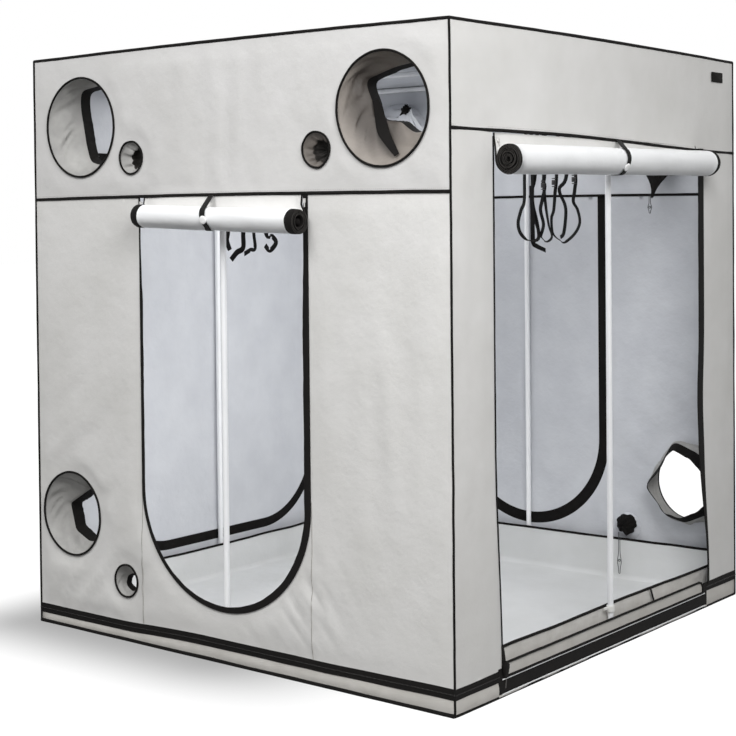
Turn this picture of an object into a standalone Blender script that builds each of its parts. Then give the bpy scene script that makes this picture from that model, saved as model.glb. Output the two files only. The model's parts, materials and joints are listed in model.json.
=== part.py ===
"""Indoor grow tent: a steel pole frame inside a sewn fabric skin with a zipped base.

Metres, +Z up. The origin is the centre of the base, on the floor. The front wall with the U-shaped
door faces -Y, and the wall with the wide door faces +X. A place on a wall is given by s, the distance
along it from its middle to the right as seen from outside, by t, the depth inwards from its outer
face, and by its height z. So the front and the back share one set of numbers.
"""
import math

import bpy
import bmesh
from mathutils import Euler, Vector
from mathutils.geometry import intersect_point_line, tessellate_polygon

# Overall size
WIDTH = 2.0
DEPTH = 2.0
HEIGHT = 2.2

# Skin, tape and webbing
FABRIC = 0.0012
TAPE = 0.0016
WEBBING = 0.0015
WEBBING_WIDTH = 0.025
GAP = 0.0003
OVERRUN = 0.01

# Poles, corner pieces and clips
POLE_RADIUS = 0.011
POLE_WALL = 0.0012
POLE_SIDES = 12
HUB_HALF = 0.013
HUB_BEVEL = 0.003
PEG_LENGTH = 0.06
PEG_SIDES = 8
CLIP_WALL = 0.0016
CLIP_WIDTH = 2 * POLE_RADIUS
CLIP_MOUTH = math.radians(100)
CLIP_STEPS = 8
VENT_RADIUS = 0.002
VENT_SIDES = 8
VENT_HEIGHT = 0.05
BAR_OFFSET = 0.33

# Heights that divide the skin
BAND_LOW = 0.055
BAND_HIGH = 0.098
FRONT_HEADER = 0.545
SIDE_HEADER = 0.355
FRONT_SEAM = HEIGHT - FRONT_HEADER
SIDE_SEAM = HEIGHT - SIDE_HEADER
TRAY_HEIGHT = 0.152
TRAY_INSET = 0.032

# Front and back doors, U-shaped with a round foot
U_HALF = 0.4095
U_FOOT = 0.186
U_TAPE_FRONT = 0.0225
U_TAPE_BACK = 0.040
ARC_STEPS = 18

# Left door, wide with round lower corners
WIDE_HALF = 0.67
WIDE_FOOT = 0.16
WIDE_CORNER = 0.37
WIDE_TAPE = 0.040

# Right door, open down to the base
GATE_NEAR = -0.757
GATE_FAR = 0.737
GATE_TAPE_NEAR = 0.010
GATE_TAPE_FAR = 0.024
GATE_TAPE_FOOT = 0.0613
GATE_TAPE_RISE = 0.009
GATE_BAND_LOW = 0.013
GATE_BAND_HIGH = 0.061
GATE_TRIM = 0.028
SILL_HIGH = 0.112
SILL_CORNER = 0.028
SILL_STEPS = 6

# Port holes and their sleeves
PORT_SIDES = 24
SMALL_SIDES = 12
UPPER_PORT_INSET = 0.27
UPPER_PORT_DROP = 0.268
UPPER_PORT_RADIUS = 0.188
LOWER_PORT_SHARE = 0.3285
LOWER_PORT_Z = 0.447
LOWER_PORT_RADIUS = 0.16
SMALL_RADIUS = 0.06
SMALL_UPPER_STEP = 0.28
SMALL_UPPER_FALL = 0.124
SMALL_LOWER_SHARE = 0.84
SMALL_LOWER_Z = 0.227
SMALL_DEPTH = 0.055
SLEEVE_RINGS = 3
UPPER_PORT_S = WIDTH / 2 - UPPER_PORT_INSET
UPPER_PORT_Z = HEIGHT - UPPER_PORT_DROP
SMALL_UPPER_S = UPPER_PORT_S - SMALL_UPPER_STEP
SMALL_UPPER_Z = UPPER_PORT_Z - SMALL_UPPER_FALL
LOWER_PORT_S = -WIDTH / 2 + LOWER_PORT_SHARE * (WIDTH / 2 - U_HALF)
SMALL_LOWER_S = -WIDTH / 2 + SMALL_LOWER_SHARE * (WIDTH / 2 - U_HALF)

# Sleeves, seen from outside: depth, mouth, shift and sag as shares of the hole's radius, the
# squareness of the mouth and its turn in degrees
SLEEVE_SHARES = {
    "front_upper_left": (0.72, 0.80, 0.0, 0.0, 0.8, 14),
    "front_upper_right": (0.64, 0.84, 0.0, 0.11, 0.8, 32),
    "front_lower_left": (0.66, 0.82, 0.0, 0.06, 0.7, 23),
    "back_upper_left": (0.53, 0.16, 0.32, 1.25, 0.0, 0),
    "back_upper_right": (0.69, 0.80, 0.0, 0.05, 0.8, 14),
    "back_lower_left": (0.69, 1.06, 0.0, -0.05, 0.3, 29),
}
# Small ports: the mouth's radius and its sag as shares of the hole's radius
SMALL_SHARES = {
    "front_upper_left": (0.80, 0.07),
    "front_upper_right": (0.45, 0.07),
    "front_lower_left": (0.75, 0.07),
    "back_upper_left": (0.80, 0.07),
    "back_upper_right": (0.45, 0.07),
    "back_lower_left": (0.40, 0.0),
}

# Rolled doors
ROLL_SHEET = 0.0020
ROLL_STEPS = 18
ROLL_CORE = 0.011
CORE_WIDTH_SHARE = 0.3
SKEW_START_SHARE = 0.4
FRONT_ROLL_RADIUS = 0.043
FRONT_ROLL_DROP = 0.075
FRONT_ROLL_SKEW = 0.030
GATE_ROLL_RADIUS = 0.050
GATE_ROLL_DROP = 0.079
GATE_ROLL_SKEW = -0.046
ROLL_STANDOFF = 0.010
HEADER_STEPS = 5
STRAP_STEPS = 16
STRAP_LOOSE = 0.0016
FRONT_STRAP_TOP_S = -0.037
FRONT_STRAP_FOOT_S = 0.034
GATE_STRAP_TOP_S = 0.054
GATE_STRAP_FOOT_S = -0.060
SNAP_RADIUS = 0.012
SNAP_THICK = 0.004
SNAP_SIDES = 12

# Zip sliders
SLIDER_WIDTH = 0.012
SLIDER_HEIGHT = 0.016
SLIDER_DEPTH = 0.005
PULL_WIDTH = 0.006
PULL_LENGTH = 0.030
PULL_THICK = 0.002
SLIDER_DROP = 0.018
SLIDER_START = 0.012

# Hanging straps, each with its length and its sway as a share of that length
WRAP_THICK = 0.0015
BUNDLE_FRONT_X = -0.48
BUNDLE_BACK_X = 0.51
FRONT_STRAP_SPACING = 0.062
BACK_STRAP_SPACING = 0.075
FRONT_STRAP_LENGTHS = (0.71, 0.73, 0.74, 0.75)
BACK_STRAP_LENGTHS = (0.66, 0.70, 0.68)
STRAP_SWAY_SHARES = (0.014, 0.019, -0.014, 0.016)
STRAP_RUNS = 8
BUCKLE_HEIGHT = 0.038
BUCKLE_WIDTH = 0.030
BUCKLE_THICK = 0.009

# Drawcords
CORD_RADIUS = 0.0014
CORD_SPACING = 0.0065
CORD_BULGE = 0.006
CORD_BULGE_SHARE = 0.72
CORD_BULGE_LENGTH_SHARE = 0.14
CORD_POINT_DIAMETERS = 2.5
LOWER_CORD_OFFSET = 0.015
LOWER_CORD_DROP = 0.180
UPPER_CORD_DROP = 0.083

SMOOTH_ANGLE = math.radians(35)

# Each wall's turn about Z, the distance of its face from the centre, and half its length
WALLS = {
    "front": (0.0, DEPTH / 2, WIDTH / 2),
    "right": (math.pi / 2, WIDTH / 2, DEPTH / 2),
    "back": (math.pi, DEPTH / 2, WIDTH / 2),
    "left": (3 * math.pi / 2, WIDTH / 2, DEPTH / 2),
}

CORNERS = (("front_left", -1, -1), ("front_right", 1, -1), ("back_right", 1, 1), ("back_left", -1, 1))

POLE_INSET = FABRIC + GAP + HUB_HALF
RAIL_LOW = FABRIC + GAP + HUB_HALF
RAIL_HIGH = HEIGHT - FABRIC - GAP - HUB_HALF
POST_X = WIDTH / 2 - POLE_INSET
POST_Y = DEPTH / 2 - POLE_INSET
SKIN_TOP = HEIGHT - FABRIC - GAP


def clear_scene():
    for obj in list(bpy.data.objects):
        bpy.data.objects.remove(obj, do_unlink=True)


def make_material(name, colour, roughness, metallic=0.0):
    material = bpy.data.materials.new(name)
    material.use_nodes = True
    shader = material.node_tree.nodes["Principled BSDF"]
    shader.inputs["Base Color"].default_value = (*colour, 1.0)
    shader.inputs["Roughness"].default_value = roughness
    shader.inputs["Metallic"].default_value = metallic
    material.diffuse_color = (*colour, 1.0)
    return material


def make_materials():
    return {
        "outer_fabric": make_material("outer_fabric", (0.60, 0.59, 0.57), 0.75),
        "door_fabric": make_material("door_fabric", (0.86, 0.87, 0.88), 0.55),
        "tray_fabric": make_material("tray_fabric", (0.62, 0.63, 0.64), 0.65),
        "black_tape": make_material("black_tape", (0.014, 0.013, 0.012), 0.70),
        "webbing": make_material("webbing", (0.018, 0.018, 0.018), 0.80),
        "white_steel": make_material("white_steel", (0.78, 0.79, 0.80), 0.35),
        "white_plastic": make_material("white_plastic", (0.80, 0.80, 0.79), 0.45),
        "slider_metal": make_material("slider_metal", (0.05, 0.05, 0.05), 0.40, 0.8),
        "cord": make_material("cord", (0.015, 0.015, 0.015), 0.85),
    }


MATERIALS = {}


def on_wall(wall, s, t, z):
    """World point of a place on a wall."""
    turn, reach, _ = WALLS[wall]
    y = t - reach
    return Vector((math.cos(turn) * s - math.sin(turn) * y, math.sin(turn) * s + math.cos(turn) * y, z))


def add_object(name, mesh, material, smooth=True):
    obj = bpy.data.objects.new(name, mesh)
    bpy.context.scene.collection.objects.link(obj)
    if not mesh.materials:
        mesh.materials.append(MATERIALS[material])
    if smooth:
        mesh.shade_smooth()
        mesh.set_sharp_from_angle(angle=SMOOTH_ANGLE)
    return obj


def finish(name, bm, material, smooth=True):
    bmesh.ops.recalc_face_normals(bm, faces=bm.faces)
    mesh = bpy.data.meshes.new(name)
    bm.to_mesh(mesh)
    bm.free()
    return add_object(name, mesh, material, smooth)


def bridge(bm, ring_a, ring_b):
    """Quads between two closed rings of as many points."""
    count = len(ring_a)
    for i in range(count):
        j = (i + 1) % count
        bm.faces.new((ring_a[i], ring_a[j], ring_b[j], ring_b[i]))


def skin(bm, rings):
    """Triangles between closed rings, split along one diagonal, so that two parallel skins never cross."""
    for ring_a, ring_b in zip(rings, rings[1:]):
        count = len(ring_a)
        for i in range(count):
            j = (i + 1) % count
            bm.faces.new((ring_a[i], ring_a[j], ring_b[j]))
            bm.faces.new((ring_a[i], ring_b[j], ring_b[i]))


def cap(bm, ring):
    bm.faces.new(ring)


def circle(s, z, radius, count):
    return [
        (s + radius * math.cos(math.tau * i / count), z + radius * math.sin(math.tau * i / count))
        for i in range(count)
    ]


def arc(s, z, radius, start, end, steps):
    """Points on an arc, both ends included, angles in radians from +s towards +z."""
    return [
        (s + radius * math.cos(start + (end - start) * i / steps),
         z + radius * math.sin(start + (end - start) * i / steps))
        for i in range(steps + 1)
    ]


def door_edge(half, foot, top, corner, steps=ARC_STEPS):
    """Left edge, round foot and right edge of a door, from the top left to the top right."""
    points = [(-half, top)]
    points += arc(corner - half, foot + corner, corner, math.pi, 1.5 * math.pi, steps // 2)
    right = arc(half - corner, foot + corner, corner, 1.5 * math.pi, math.tau, steps // 2)
    points += right if half - corner > GAP else right[1:]
    points.append((half, top))
    return points


def panel(name, wall, outline, holes, material, t_out=0.0, thick=FABRIC):
    """Flat sheet in a wall. A hole is a list of rings, each its points and depth, from out to in."""
    bm = bmesh.new()

    def ring(points, depth):
        return [bm.verts.new(on_wall(wall, s, depth, z)) for s, z in points]

    outer_points = [outline]
    inner_points = [outline]
    outer = ring(outline, t_out)
    inner = ring(outline, t_out + thick)
    bridge(bm, outer, inner)
    outer_verts = list(outer)
    inner_verts = list(inner)
    for rings in holes:
        made = [ring(points, depth) for points, depth in rings]
        for ring_a, ring_b in zip(made, made[1:]):
            bridge(bm, ring_a, ring_b)
        outer_points.append(rings[0][0])
        inner_points.append(rings[-1][0])
        outer_verts += made[0]
        inner_verts += made[-1]
    for loops, verts in ((outer_points, outer_verts), (inner_points, inner_verts)):
        flat = [[Vector((s, z, 0)) for s, z in loop] for loop in loops]
        for corners in tessellate_polygon(flat):
            bm.faces.new([verts[i] for i in corners])
    return finish(name, bm, material, smooth=False)


def plain_hole(points, thick=FABRIC):
    return [(points, 0.0), (points, thick)]


def box_mesh(bm, low, high):
    """Closed box between two corners."""
    size = Vector(high) - Vector(low)
    middle = (Vector(high) + Vector(low)) / 2
    made = bmesh.ops.create_cube(bm, size=1.0)
    for vert in made["verts"]:
        vert.co = Vector((vert.co.x * size.x, vert.co.y * size.y, vert.co.z * size.z)) + middle


def box(name, low, high, material):
    bm = bmesh.new()
    box_mesh(bm, low, high)
    return finish(name, bm, material, smooth=False)


def open_box(name, half_x, half_y, low, high, wall, material):
    """Box without a lid, with a floor and four walls of one thickness."""
    bm = bmesh.new()

    def ring(x, y, z):
        return [bm.verts.new((sx * x, sy * y, z)) for sx, sy in ((-1, -1), (1, -1), (1, 1), (-1, 1))]

    rings = [
        ring(half_x, half_y, low),
        ring(half_x, half_y, high),
        ring(half_x - wall, half_y - wall, high),
        ring(half_x - wall, half_y - wall, low + wall),
    ]
    for ring_a, ring_b in zip(rings, rings[1:]):
        bridge(bm, ring_a, ring_b)
    cap(bm, rings[0])
    cap(bm, rings[-1])
    return finish(name, bm, material, smooth=False)


def cut(obj, cutter, operation="DIFFERENCE"):
    """Boolean with a guide object that the build leaves out."""
    cutter.hide_render = True
    cutter.display_type = "WIRE"
    cutter.parent = obj
    modifier = obj.modifiers.new(operation.lower(), "BOOLEAN")
    modifier.operation = operation
    modifier.solver = "EXACT"
    modifier.object = cutter


def pivot(name, place, pieces, parent=None):
    """Empty on a joint's axis that carries the pieces that move about it or along it."""
    empty = bpy.data.objects.new(name, None)
    bpy.context.scene.collection.objects.link(empty)
    empty.location = place
    if parent:
        empty.parent = parent
        empty.location -= parent.location
    for piece in pieces:
        piece.parent = empty
        piece.location -= Vector(place)
    return empty


def ribbon(name, wall, path, thick, material):
    """Sheet of even thickness that follows a path of (t, z, low s, high s), closed at both ends."""
    bm = bmesh.new()
    rings = []
    for i, (t, z, s_low, s_high) in enumerate(path):
        before = path[max(i - 1, 0)]
        after = path[min(i + 1, len(path) - 1)]
        along = Vector((after[0] - before[0], after[1] - before[1])).normalized()
        side = Vector((-along.y, along.x)) * thick / 2
        rings.append([
            bm.verts.new(on_wall(wall, s_low, t + side.x, z + side.y)),
            bm.verts.new(on_wall(wall, s_high, t + side.x, z + side.y)),
            bm.verts.new(on_wall(wall, s_high, t - side.x, z - side.y)),
            bm.verts.new(on_wall(wall, s_low, t - side.x, z - side.y)),
        ])
    for ring_a, ring_b in zip(rings, rings[1:]):
        bridge(bm, ring_a, ring_b)
    cap(bm, rings[0])
    cap(bm, rings[-1])
    return finish(name, bm, material)


def round_points(centre, along, radius, sides):
    """Points on a circle about an axis; equal axes and sides give circles whose corners line up."""
    across = along.orthogonal().normalized()
    other = along.cross(across)
    return [
        centre + radius * (across * math.cos(math.tau * i / sides) + other * math.sin(math.tau * i / sides))
        for i in range(sides)
    ]


def tube(name, start, end, material="white_steel"):
    """Open steel tube between two points."""
    start = Vector(start)
    end = Vector(end)
    along = (end - start).normalized()
    bm = bmesh.new()
    rings = []
    for place, radius in (
        (start, POLE_RADIUS), (end, POLE_RADIUS),
        (end, POLE_RADIUS - POLE_WALL), (start, POLE_RADIUS - POLE_WALL),
    ):
        rings.append([bm.verts.new(point) for point in round_points(place, along, radius, POLE_SIDES)])
    for i in range(len(rings)):
        bridge(bm, rings[i], rings[(i + 1) % len(rings)])
    return finish(name, bm, material)


# Pole frame

def hub_mesh():
    """Corner piece: a rounded block with three pegs that plug into the poles."""
    bm = bmesh.new()
    made = bmesh.ops.create_cube(bm, size=2 * HUB_HALF)
    edges = list({edge for vert in made["verts"] for edge in vert.link_edges})
    bmesh.ops.bevel(bm, geom=edges, offset=HUB_BEVEL, segments=1, affect="EDGES")
    radius = (POLE_RADIUS - POLE_WALL) * math.cos(math.pi / POLE_SIDES) - GAP
    for axis in (Vector((1, 0, 0)), Vector((0, 1, 0)), Vector((0, 0, 1))):
        face = max(bm.faces, key=lambda f: f.calc_center_median().dot(axis))
        centre = axis * HUB_HALF
        across = axis.orthogonal().normalized()
        other = axis.cross(across)
        corners = list(face.verts)
        bm.faces.remove(face)
        foot = [bm.verts.new(point) for point in round_points(centre, axis, radius, PEG_SIDES)]
        tip = [bm.verts.new(vert.co + axis * PEG_LENGTH) for vert in foot]
        bridge(bm, foot, tip)
        cap(bm, tip)
        loops = [
            [Vector((v.co.dot(across), v.co.dot(other), 0)) for v in corners],
            [Vector((v.co.dot(across), v.co.dot(other), 0)) for v in foot],
        ]
        verts = corners + foot
        for indices in tessellate_polygon(loops):
            bm.faces.new([verts[i] for i in indices])
    bmesh.ops.recalc_face_normals(bm, faces=bm.faces)
    mesh = bpy.data.meshes.new("corner_piece")
    bm.to_mesh(mesh)
    bm.free()
    return mesh


def make_corners():
    """Eight corner pieces from one mesh, each turned so its pegs face along the frame."""
    mesh = hub_mesh()
    for quarter, (label, sx, sy) in enumerate(CORNERS):
        turn = quarter * math.pi / 2
        low = add_object("bottom_corner_" + label, mesh, "white_plastic", smooth=False)
        low.location = (sx * POST_X, sy * POST_Y, RAIL_LOW)
        low.rotation_euler = Euler((0, 0, turn))
        high = add_object("top_corner_" + label, mesh, "white_plastic", smooth=False)
        high.location = (sx * POST_X, sy * POST_Y, RAIL_HIGH)
        high.rotation_euler = Euler((0, math.pi / 2, turn))


def clip_ring(name, centre, along, away, material):
    """C-shaped clip round a rail: centre, rail direction, and the way its mouth opens."""
    centre = Vector(centre)
    along = Vector(along)
    away = Vector(away)
    side = along.cross(away)
    inner = POLE_RADIUS + GAP
    outer = inner + CLIP_WALL
    bm = bmesh.new()
    rings = []
    for i in range(CLIP_STEPS + 1):
        angle = CLIP_MOUTH / 2 + (math.tau - CLIP_MOUTH) * i / CLIP_STEPS
        way = away * math.cos(angle) + side * math.sin(angle)
        half = along * CLIP_WIDTH / 2
        rings.append([
            bm.verts.new(centre + way * inner - half), bm.verts.new(centre + way * outer - half),
            bm.verts.new(centre + way * outer + half), bm.verts.new(centre + way * inner + half),
        ])
    for ring_a, ring_b in zip(rings, rings[1:]):
        bridge(bm, ring_a, ring_b)
    cap(bm, rings[0])
    cap(bm, rings[-1])
    return finish(name, bm, material, smooth=False)


def rod(name, start, end, radius, sides, material):
    """Solid round bar, also used as a cutter."""
    start = Vector(start)
    end = Vector(end)
    along = (end - start).normalized()
    bm = bmesh.new()
    rings = [
        [bm.verts.new(point) for point in round_points(place, along, radius, sides)]
        for place in (start, end)
    ]
    bridge(bm, rings[0], rings[1])
    cap(bm, rings[0])
    cap(bm, rings[1])
    return finish(name, bm, material)


def clipped_pole(name, start, end, rail_way):
    """Steel tube whose ends clip round two parallel rails at start and end."""
    start = Vector(start)
    end = Vector(end)
    along = (end - start).normalized()
    rail_way = Vector(rail_way)
    inner = POLE_RADIUS + GAP
    bite = along * (inner + CLIP_WALL / 2)
    pole = rod(name, start + bite, end - bite, POLE_RADIUS, POLE_SIDES, "white_steel")
    hollow = along * (inner + CLIP_WALL + GAP)
    bore = POLE_RADIUS - POLE_WALL
    cut(pole, rod(name + "_bore", start + hollow, end - hollow, bore, POLE_SIDES, "white_steel"))
    vent = start + along * VENT_HEIGHT
    out = vent + rail_way * (POLE_RADIUS + OVERRUN)
    cut(pole, rod(name + "_vent", vent, out, VENT_RADIUS, VENT_SIDES, "white_steel"))
    cut(pole, clip_ring(name + "_low_clip", start, rail_way, -along, "white_steel"), "UNION")
    cut(pole, clip_ring(name + "_high_clip", end, rail_way, along, "white_steel"), "UNION")
    for label, place in (("_low_rail", start), ("_high_rail", end)):
        way = rail_way * (CLIP_WIDTH / 2 + OVERRUN)
        cut(pole, rod(name + label, place - way, place + way, inner, POLE_SIDES, "white_steel"))
    return pole


def make_frame():
    make_corners()
    reach = HUB_HALF + GAP
    for label, sx, sy in CORNERS:
        x = sx * POST_X
        y = sy * POST_Y
        tube("corner_post_" + label, (x, y, RAIL_LOW + reach), (x, y, RAIL_HIGH - reach))
    for label, z in (("bottom_rail_", RAIL_LOW), ("top_rail_", RAIL_HIGH)):
        tube(label + "front", (reach - POST_X, -POST_Y, z), (POST_X - reach, -POST_Y, z))
        tube(label + "back", (reach - POST_X, POST_Y, z), (POST_X - reach, POST_Y, z))
        tube(label + "right", (POST_X, reach - POST_Y, z), (POST_X, POST_Y - reach, z))
        tube(label + "left", (-POST_X, reach - POST_Y, z), (-POST_X, POST_Y - reach, z))
    clipped_pole("mid_post_front", (0, -POST_Y, RAIL_LOW), (0, -POST_Y, RAIL_HIGH), (1, 0, 0))
    clipped_pole("mid_post_back", (0, POST_Y, RAIL_LOW), (0, POST_Y, RAIL_HIGH), (1, 0, 0))
    clipped_pole("mid_post_right", (POST_X, 0, RAIL_LOW), (POST_X, 0, RAIL_HIGH), (0, 1, 0))
    clipped_pole("mid_post_left", (-POST_X, 0, RAIL_LOW), (-POST_X, 0, RAIL_HIGH), (0, 1, 0))


def make_roof_bars():
    """Each roof bar with its bundle of straps, which swings about the bar."""
    bundles = (
        ("front", -BAR_OFFSET, BUNDLE_FRONT_X, FRONT_STRAP_LENGTHS, FRONT_STRAP_SPACING),
        ("back", BAR_OFFSET, BUNDLE_BACK_X, BACK_STRAP_LENGTHS, BACK_STRAP_SPACING),
    )
    for label, y, x, lengths, spacing in bundles:
        bar = clipped_pole("roof_bar_" + label, (-POST_X, y, RAIL_HIGH), (POST_X, y, RAIL_HIGH), (0, 1, 0))
        shift = pivot(label + "_bar_shift", (0, y, RAIL_HIGH), [bar])
        straps = strap_bundle("strap_bundle_" + label, x, y, lengths, spacing)
        pivot(label + "_straps_swing", (x, y, RAIL_HIGH), [straps], shift)


# Ports and sleeves

def small_port(s, z, label):
    """Rings of a small port: the hole, its short sleeve inwards and the sleeve's outside back again."""
    mouth_share, sag_share = SMALL_SHARES[label]
    sag = SMALL_RADIUS * sag_share
    inner = []
    outer = []
    for i in range(SLEEVE_RINGS):
        share = i / (SLEEVE_RINGS - 1)
        radius = SMALL_RADIUS * (1 + (mouth_share - 1) * share)
        centre = z - sag * share ** 2
        depth = FABRIC + (SMALL_DEPTH - FABRIC) * share
        inner.append((circle(s, centre, radius, SMALL_SIDES), depth if i else 0.0))
        outer.append((circle(s, centre, radius + FABRIC, SMALL_SIDES), depth))
    return inner + outer[::-1]


def big_ring(s, z, radius, square, tilt):
    """Closed ring between a circle and a rounded square; square is the share of squareness."""
    points = []
    power = 2 + 2 * square
    for i in range(PORT_SIDES):
        angle = math.tau * i / PORT_SIDES
        c = abs(math.cos(angle - tilt))
        d = abs(math.sin(angle - tilt))
        reach = radius * (c ** power + d ** power) ** (-1 / power) * (1 - square / 8)
        points.append((s + reach * math.cos(angle), z + reach * math.sin(angle)))
    return points


def sleeve(wall, label, s, z, hole):
    """Fabric sleeve that starts in a port's hole and runs inwards to its mouth."""
    depth_share, mouth_share, shift_share, sag_share, square, turn = SLEEVE_SHARES[f"{wall}_{label}"]
    bm = bmesh.new()
    rim = hole - GAP - FABRIC
    inner = []
    outer = []
    for i in range(SLEEVE_RINGS + 1):
        share = i / SLEEVE_RINGS
        radius = rim * (1 + (mouth_share - 1) * share)
        place_s = s + hole * shift_share * share
        place_z = z - hole * sag_share * share ** 2
        t = hole * depth_share * share
        for rings, extra in ((inner, 0.0), (outer, FABRIC)):
            points = big_ring(place_s, place_z, radius + extra, square * share, math.radians(turn))
            rings.append([bm.verts.new(on_wall(wall, a, t, b)) for a, b in points])
    skin(bm, inner)
    skin(bm, outer)
    bridge(bm, inner[0], outer[0])
    bridge(bm, inner[-1], outer[-1])
    return finish(f"sleeve_{wall}_{label}", bm, "outer_fabric")


def make_sleeves():
    for wall in ("front", "back"):
        sleeve(wall, "upper_left", -UPPER_PORT_S, UPPER_PORT_Z, UPPER_PORT_RADIUS)
        sleeve(wall, "upper_right", UPPER_PORT_S, UPPER_PORT_Z, UPPER_PORT_RADIUS)
        sleeve(wall, "lower_left", LOWER_PORT_S, LOWER_PORT_Z, LOWER_PORT_RADIUS)


# Skin

def make_base():
    half_x = WIDTH / 2
    half_y = DEPTH / 2
    floor = open_box("base_floor", half_x, half_y, 0.0, BAND_LOW - GAP, FABRIC, "outer_fabric")
    notch_low = on_wall("right", GATE_NEAR - GAP, -OVERRUN, GATE_BAND_LOW - GAP)
    notch_high = on_wall("right", GATE_FAR + GAP, FABRIC + OVERRUN, BAND_LOW + OVERRUN)
    low = [min(a, b) for a, b in zip(notch_low, notch_high)]
    high = [max(a, b) for a, b in zip(notch_low, notch_high)]
    cut(floor, box("base_floor_notch", low, high, "outer_fabric"))

    bm = bmesh.new()
    rings = []
    for inset, z in ((0.0, BAND_LOW), (0.0, BAND_HIGH), (TAPE, BAND_HIGH), (TAPE, BAND_LOW)):
        rings.append([
            bm.verts.new((sx * (half_x - inset), sy * (half_y - inset), z))
            for sx, sy in ((-1, -1), (1, -1), (1, 1), (-1, 1))
        ])
    for i in range(len(rings)):
        bridge(bm, rings[i], rings[(i + 1) % len(rings)])
    band = finish("base_zip_band", bm, "black_tape", smooth=False)
    gate_low = on_wall("right", GATE_NEAR + GATE_TRIM / 2, -OVERRUN, BAND_LOW - OVERRUN)
    gate_high = on_wall("right", GATE_FAR - GATE_TRIM / 2, TAPE + OVERRUN, BAND_HIGH + OVERRUN)
    low = [min(a, b) for a, b in zip(gate_low, gate_high)]
    high = [max(a, b) for a, b in zip(gate_low, gate_high)]
    cut(band, box("base_zip_band_gate", low, high, "black_tape"))
    step = [
        (GATE_NEAR, GATE_BAND_LOW), (GATE_FAR, GATE_BAND_LOW), (GATE_FAR, BAND_HIGH),
        (GATE_FAR - GATE_TRIM, BAND_HIGH), (GATE_FAR - GATE_TRIM, GATE_BAND_HIGH),
        (GATE_NEAR + GATE_TRIM, GATE_BAND_HIGH), (GATE_NEAR + GATE_TRIM, BAND_HIGH), (GATE_NEAR, BAND_HIGH),
    ]
    cut(band, panel("base_zip_band_step", "right", step, [], "black_tape", thick=TAPE), "UNION")

    tray_x = half_x - TRAY_INSET
    tray_y = half_y - TRAY_INSET
    open_box("floor_tray", tray_x, tray_y, FABRIC + GAP, TRAY_HEIGHT, FABRIC, "tray_fabric")


def wall_outline(wall, low, high):
    """Rectangle of a wall panel; the side walls end against the front and back walls."""
    half = WALLS[wall][2]
    if wall in ("left", "right"):
        half -= FABRIC + GAP
    return [(-half, low), (half, low), (half, high), (-half, high)]


def make_front_or_back(wall):
    """Header with four ports, and the lower panel with the U-shaped door cut and two ports."""
    half = WALLS[wall][2]
    seam = FRONT_SEAM
    holes = []
    for sign, side in ((-1, "left"), (1, "right")):
        holes.append(plain_hole(circle(sign * UPPER_PORT_S, UPPER_PORT_Z, UPPER_PORT_RADIUS, PORT_SIDES)))
        holes.append(small_port(sign * SMALL_UPPER_S, SMALL_UPPER_Z, f"{wall}_upper_{side}"))
    panel(wall + "_header", wall, wall_outline(wall, seam + GAP, SKIN_TOP), holes, "outer_fabric")

    outline = [(-half, BAND_HIGH + GAP), (half, BAND_HIGH + GAP), (half, seam)]
    outline += door_edge(U_HALF, U_FOOT, seam, U_HALF)[::-1]
    outline.append((-half, seam))
    holes = [plain_hole(circle(LOWER_PORT_S, LOWER_PORT_Z, LOWER_PORT_RADIUS, PORT_SIDES))]
    holes.append(small_port(SMALL_LOWER_S, SMALL_LOWER_Z, f"{wall}_lower_left"))
    panel(wall + "_wall", wall, outline, holes, "outer_fabric")


def make_walls():
    make_front_or_back("front")
    make_front_or_back("back")

    half = WALLS["right"][2] - FABRIC - GAP
    gate = [
        (-half, BAND_HIGH + GAP), (GATE_NEAR, BAND_HIGH + GAP), (GATE_NEAR, SIDE_SEAM), (GATE_FAR, SIDE_SEAM),
        (GATE_FAR, BAND_HIGH + GAP), (half, BAND_HIGH + GAP), (half, SKIN_TOP), (-half, SKIN_TOP),
    ]
    panel("right_wall", "right", gate, [], "outer_fabric")
    hole = plain_hole(door_edge(WIDE_HALF, WIDE_FOOT, SIDE_SEAM, WIDE_CORNER))
    panel("left_wall", "left", wall_outline("left", BAND_HIGH + GAP, SKIN_TOP), [hole], "outer_fabric")
    low = (-WIDTH / 2, -DEPTH / 2, HEIGHT - FABRIC)
    box("roof_panel", low, (WIDTH / 2, DEPTH / 2, HEIGHT), "outer_fabric")


def zip_tape(name, wall, half, foot, corner, top, width):
    """Black zip tape along the edge of a door opening, open at the top."""
    outer = door_edge(half - GAP, foot + GAP, top, corner - GAP)
    inner = door_edge(half - width, foot + width, top, corner - width)
    return panel(name, wall, outer + inner[::-1], [], "black_tape", thick=TAPE)


def closed_door(name, wall, half, foot, corner, top, tape):
    inset = tape + GAP
    edge = door_edge(half - inset, foot + inset, top, corner - inset)
    return panel(name, wall, edge, [], "door_fabric")


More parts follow.
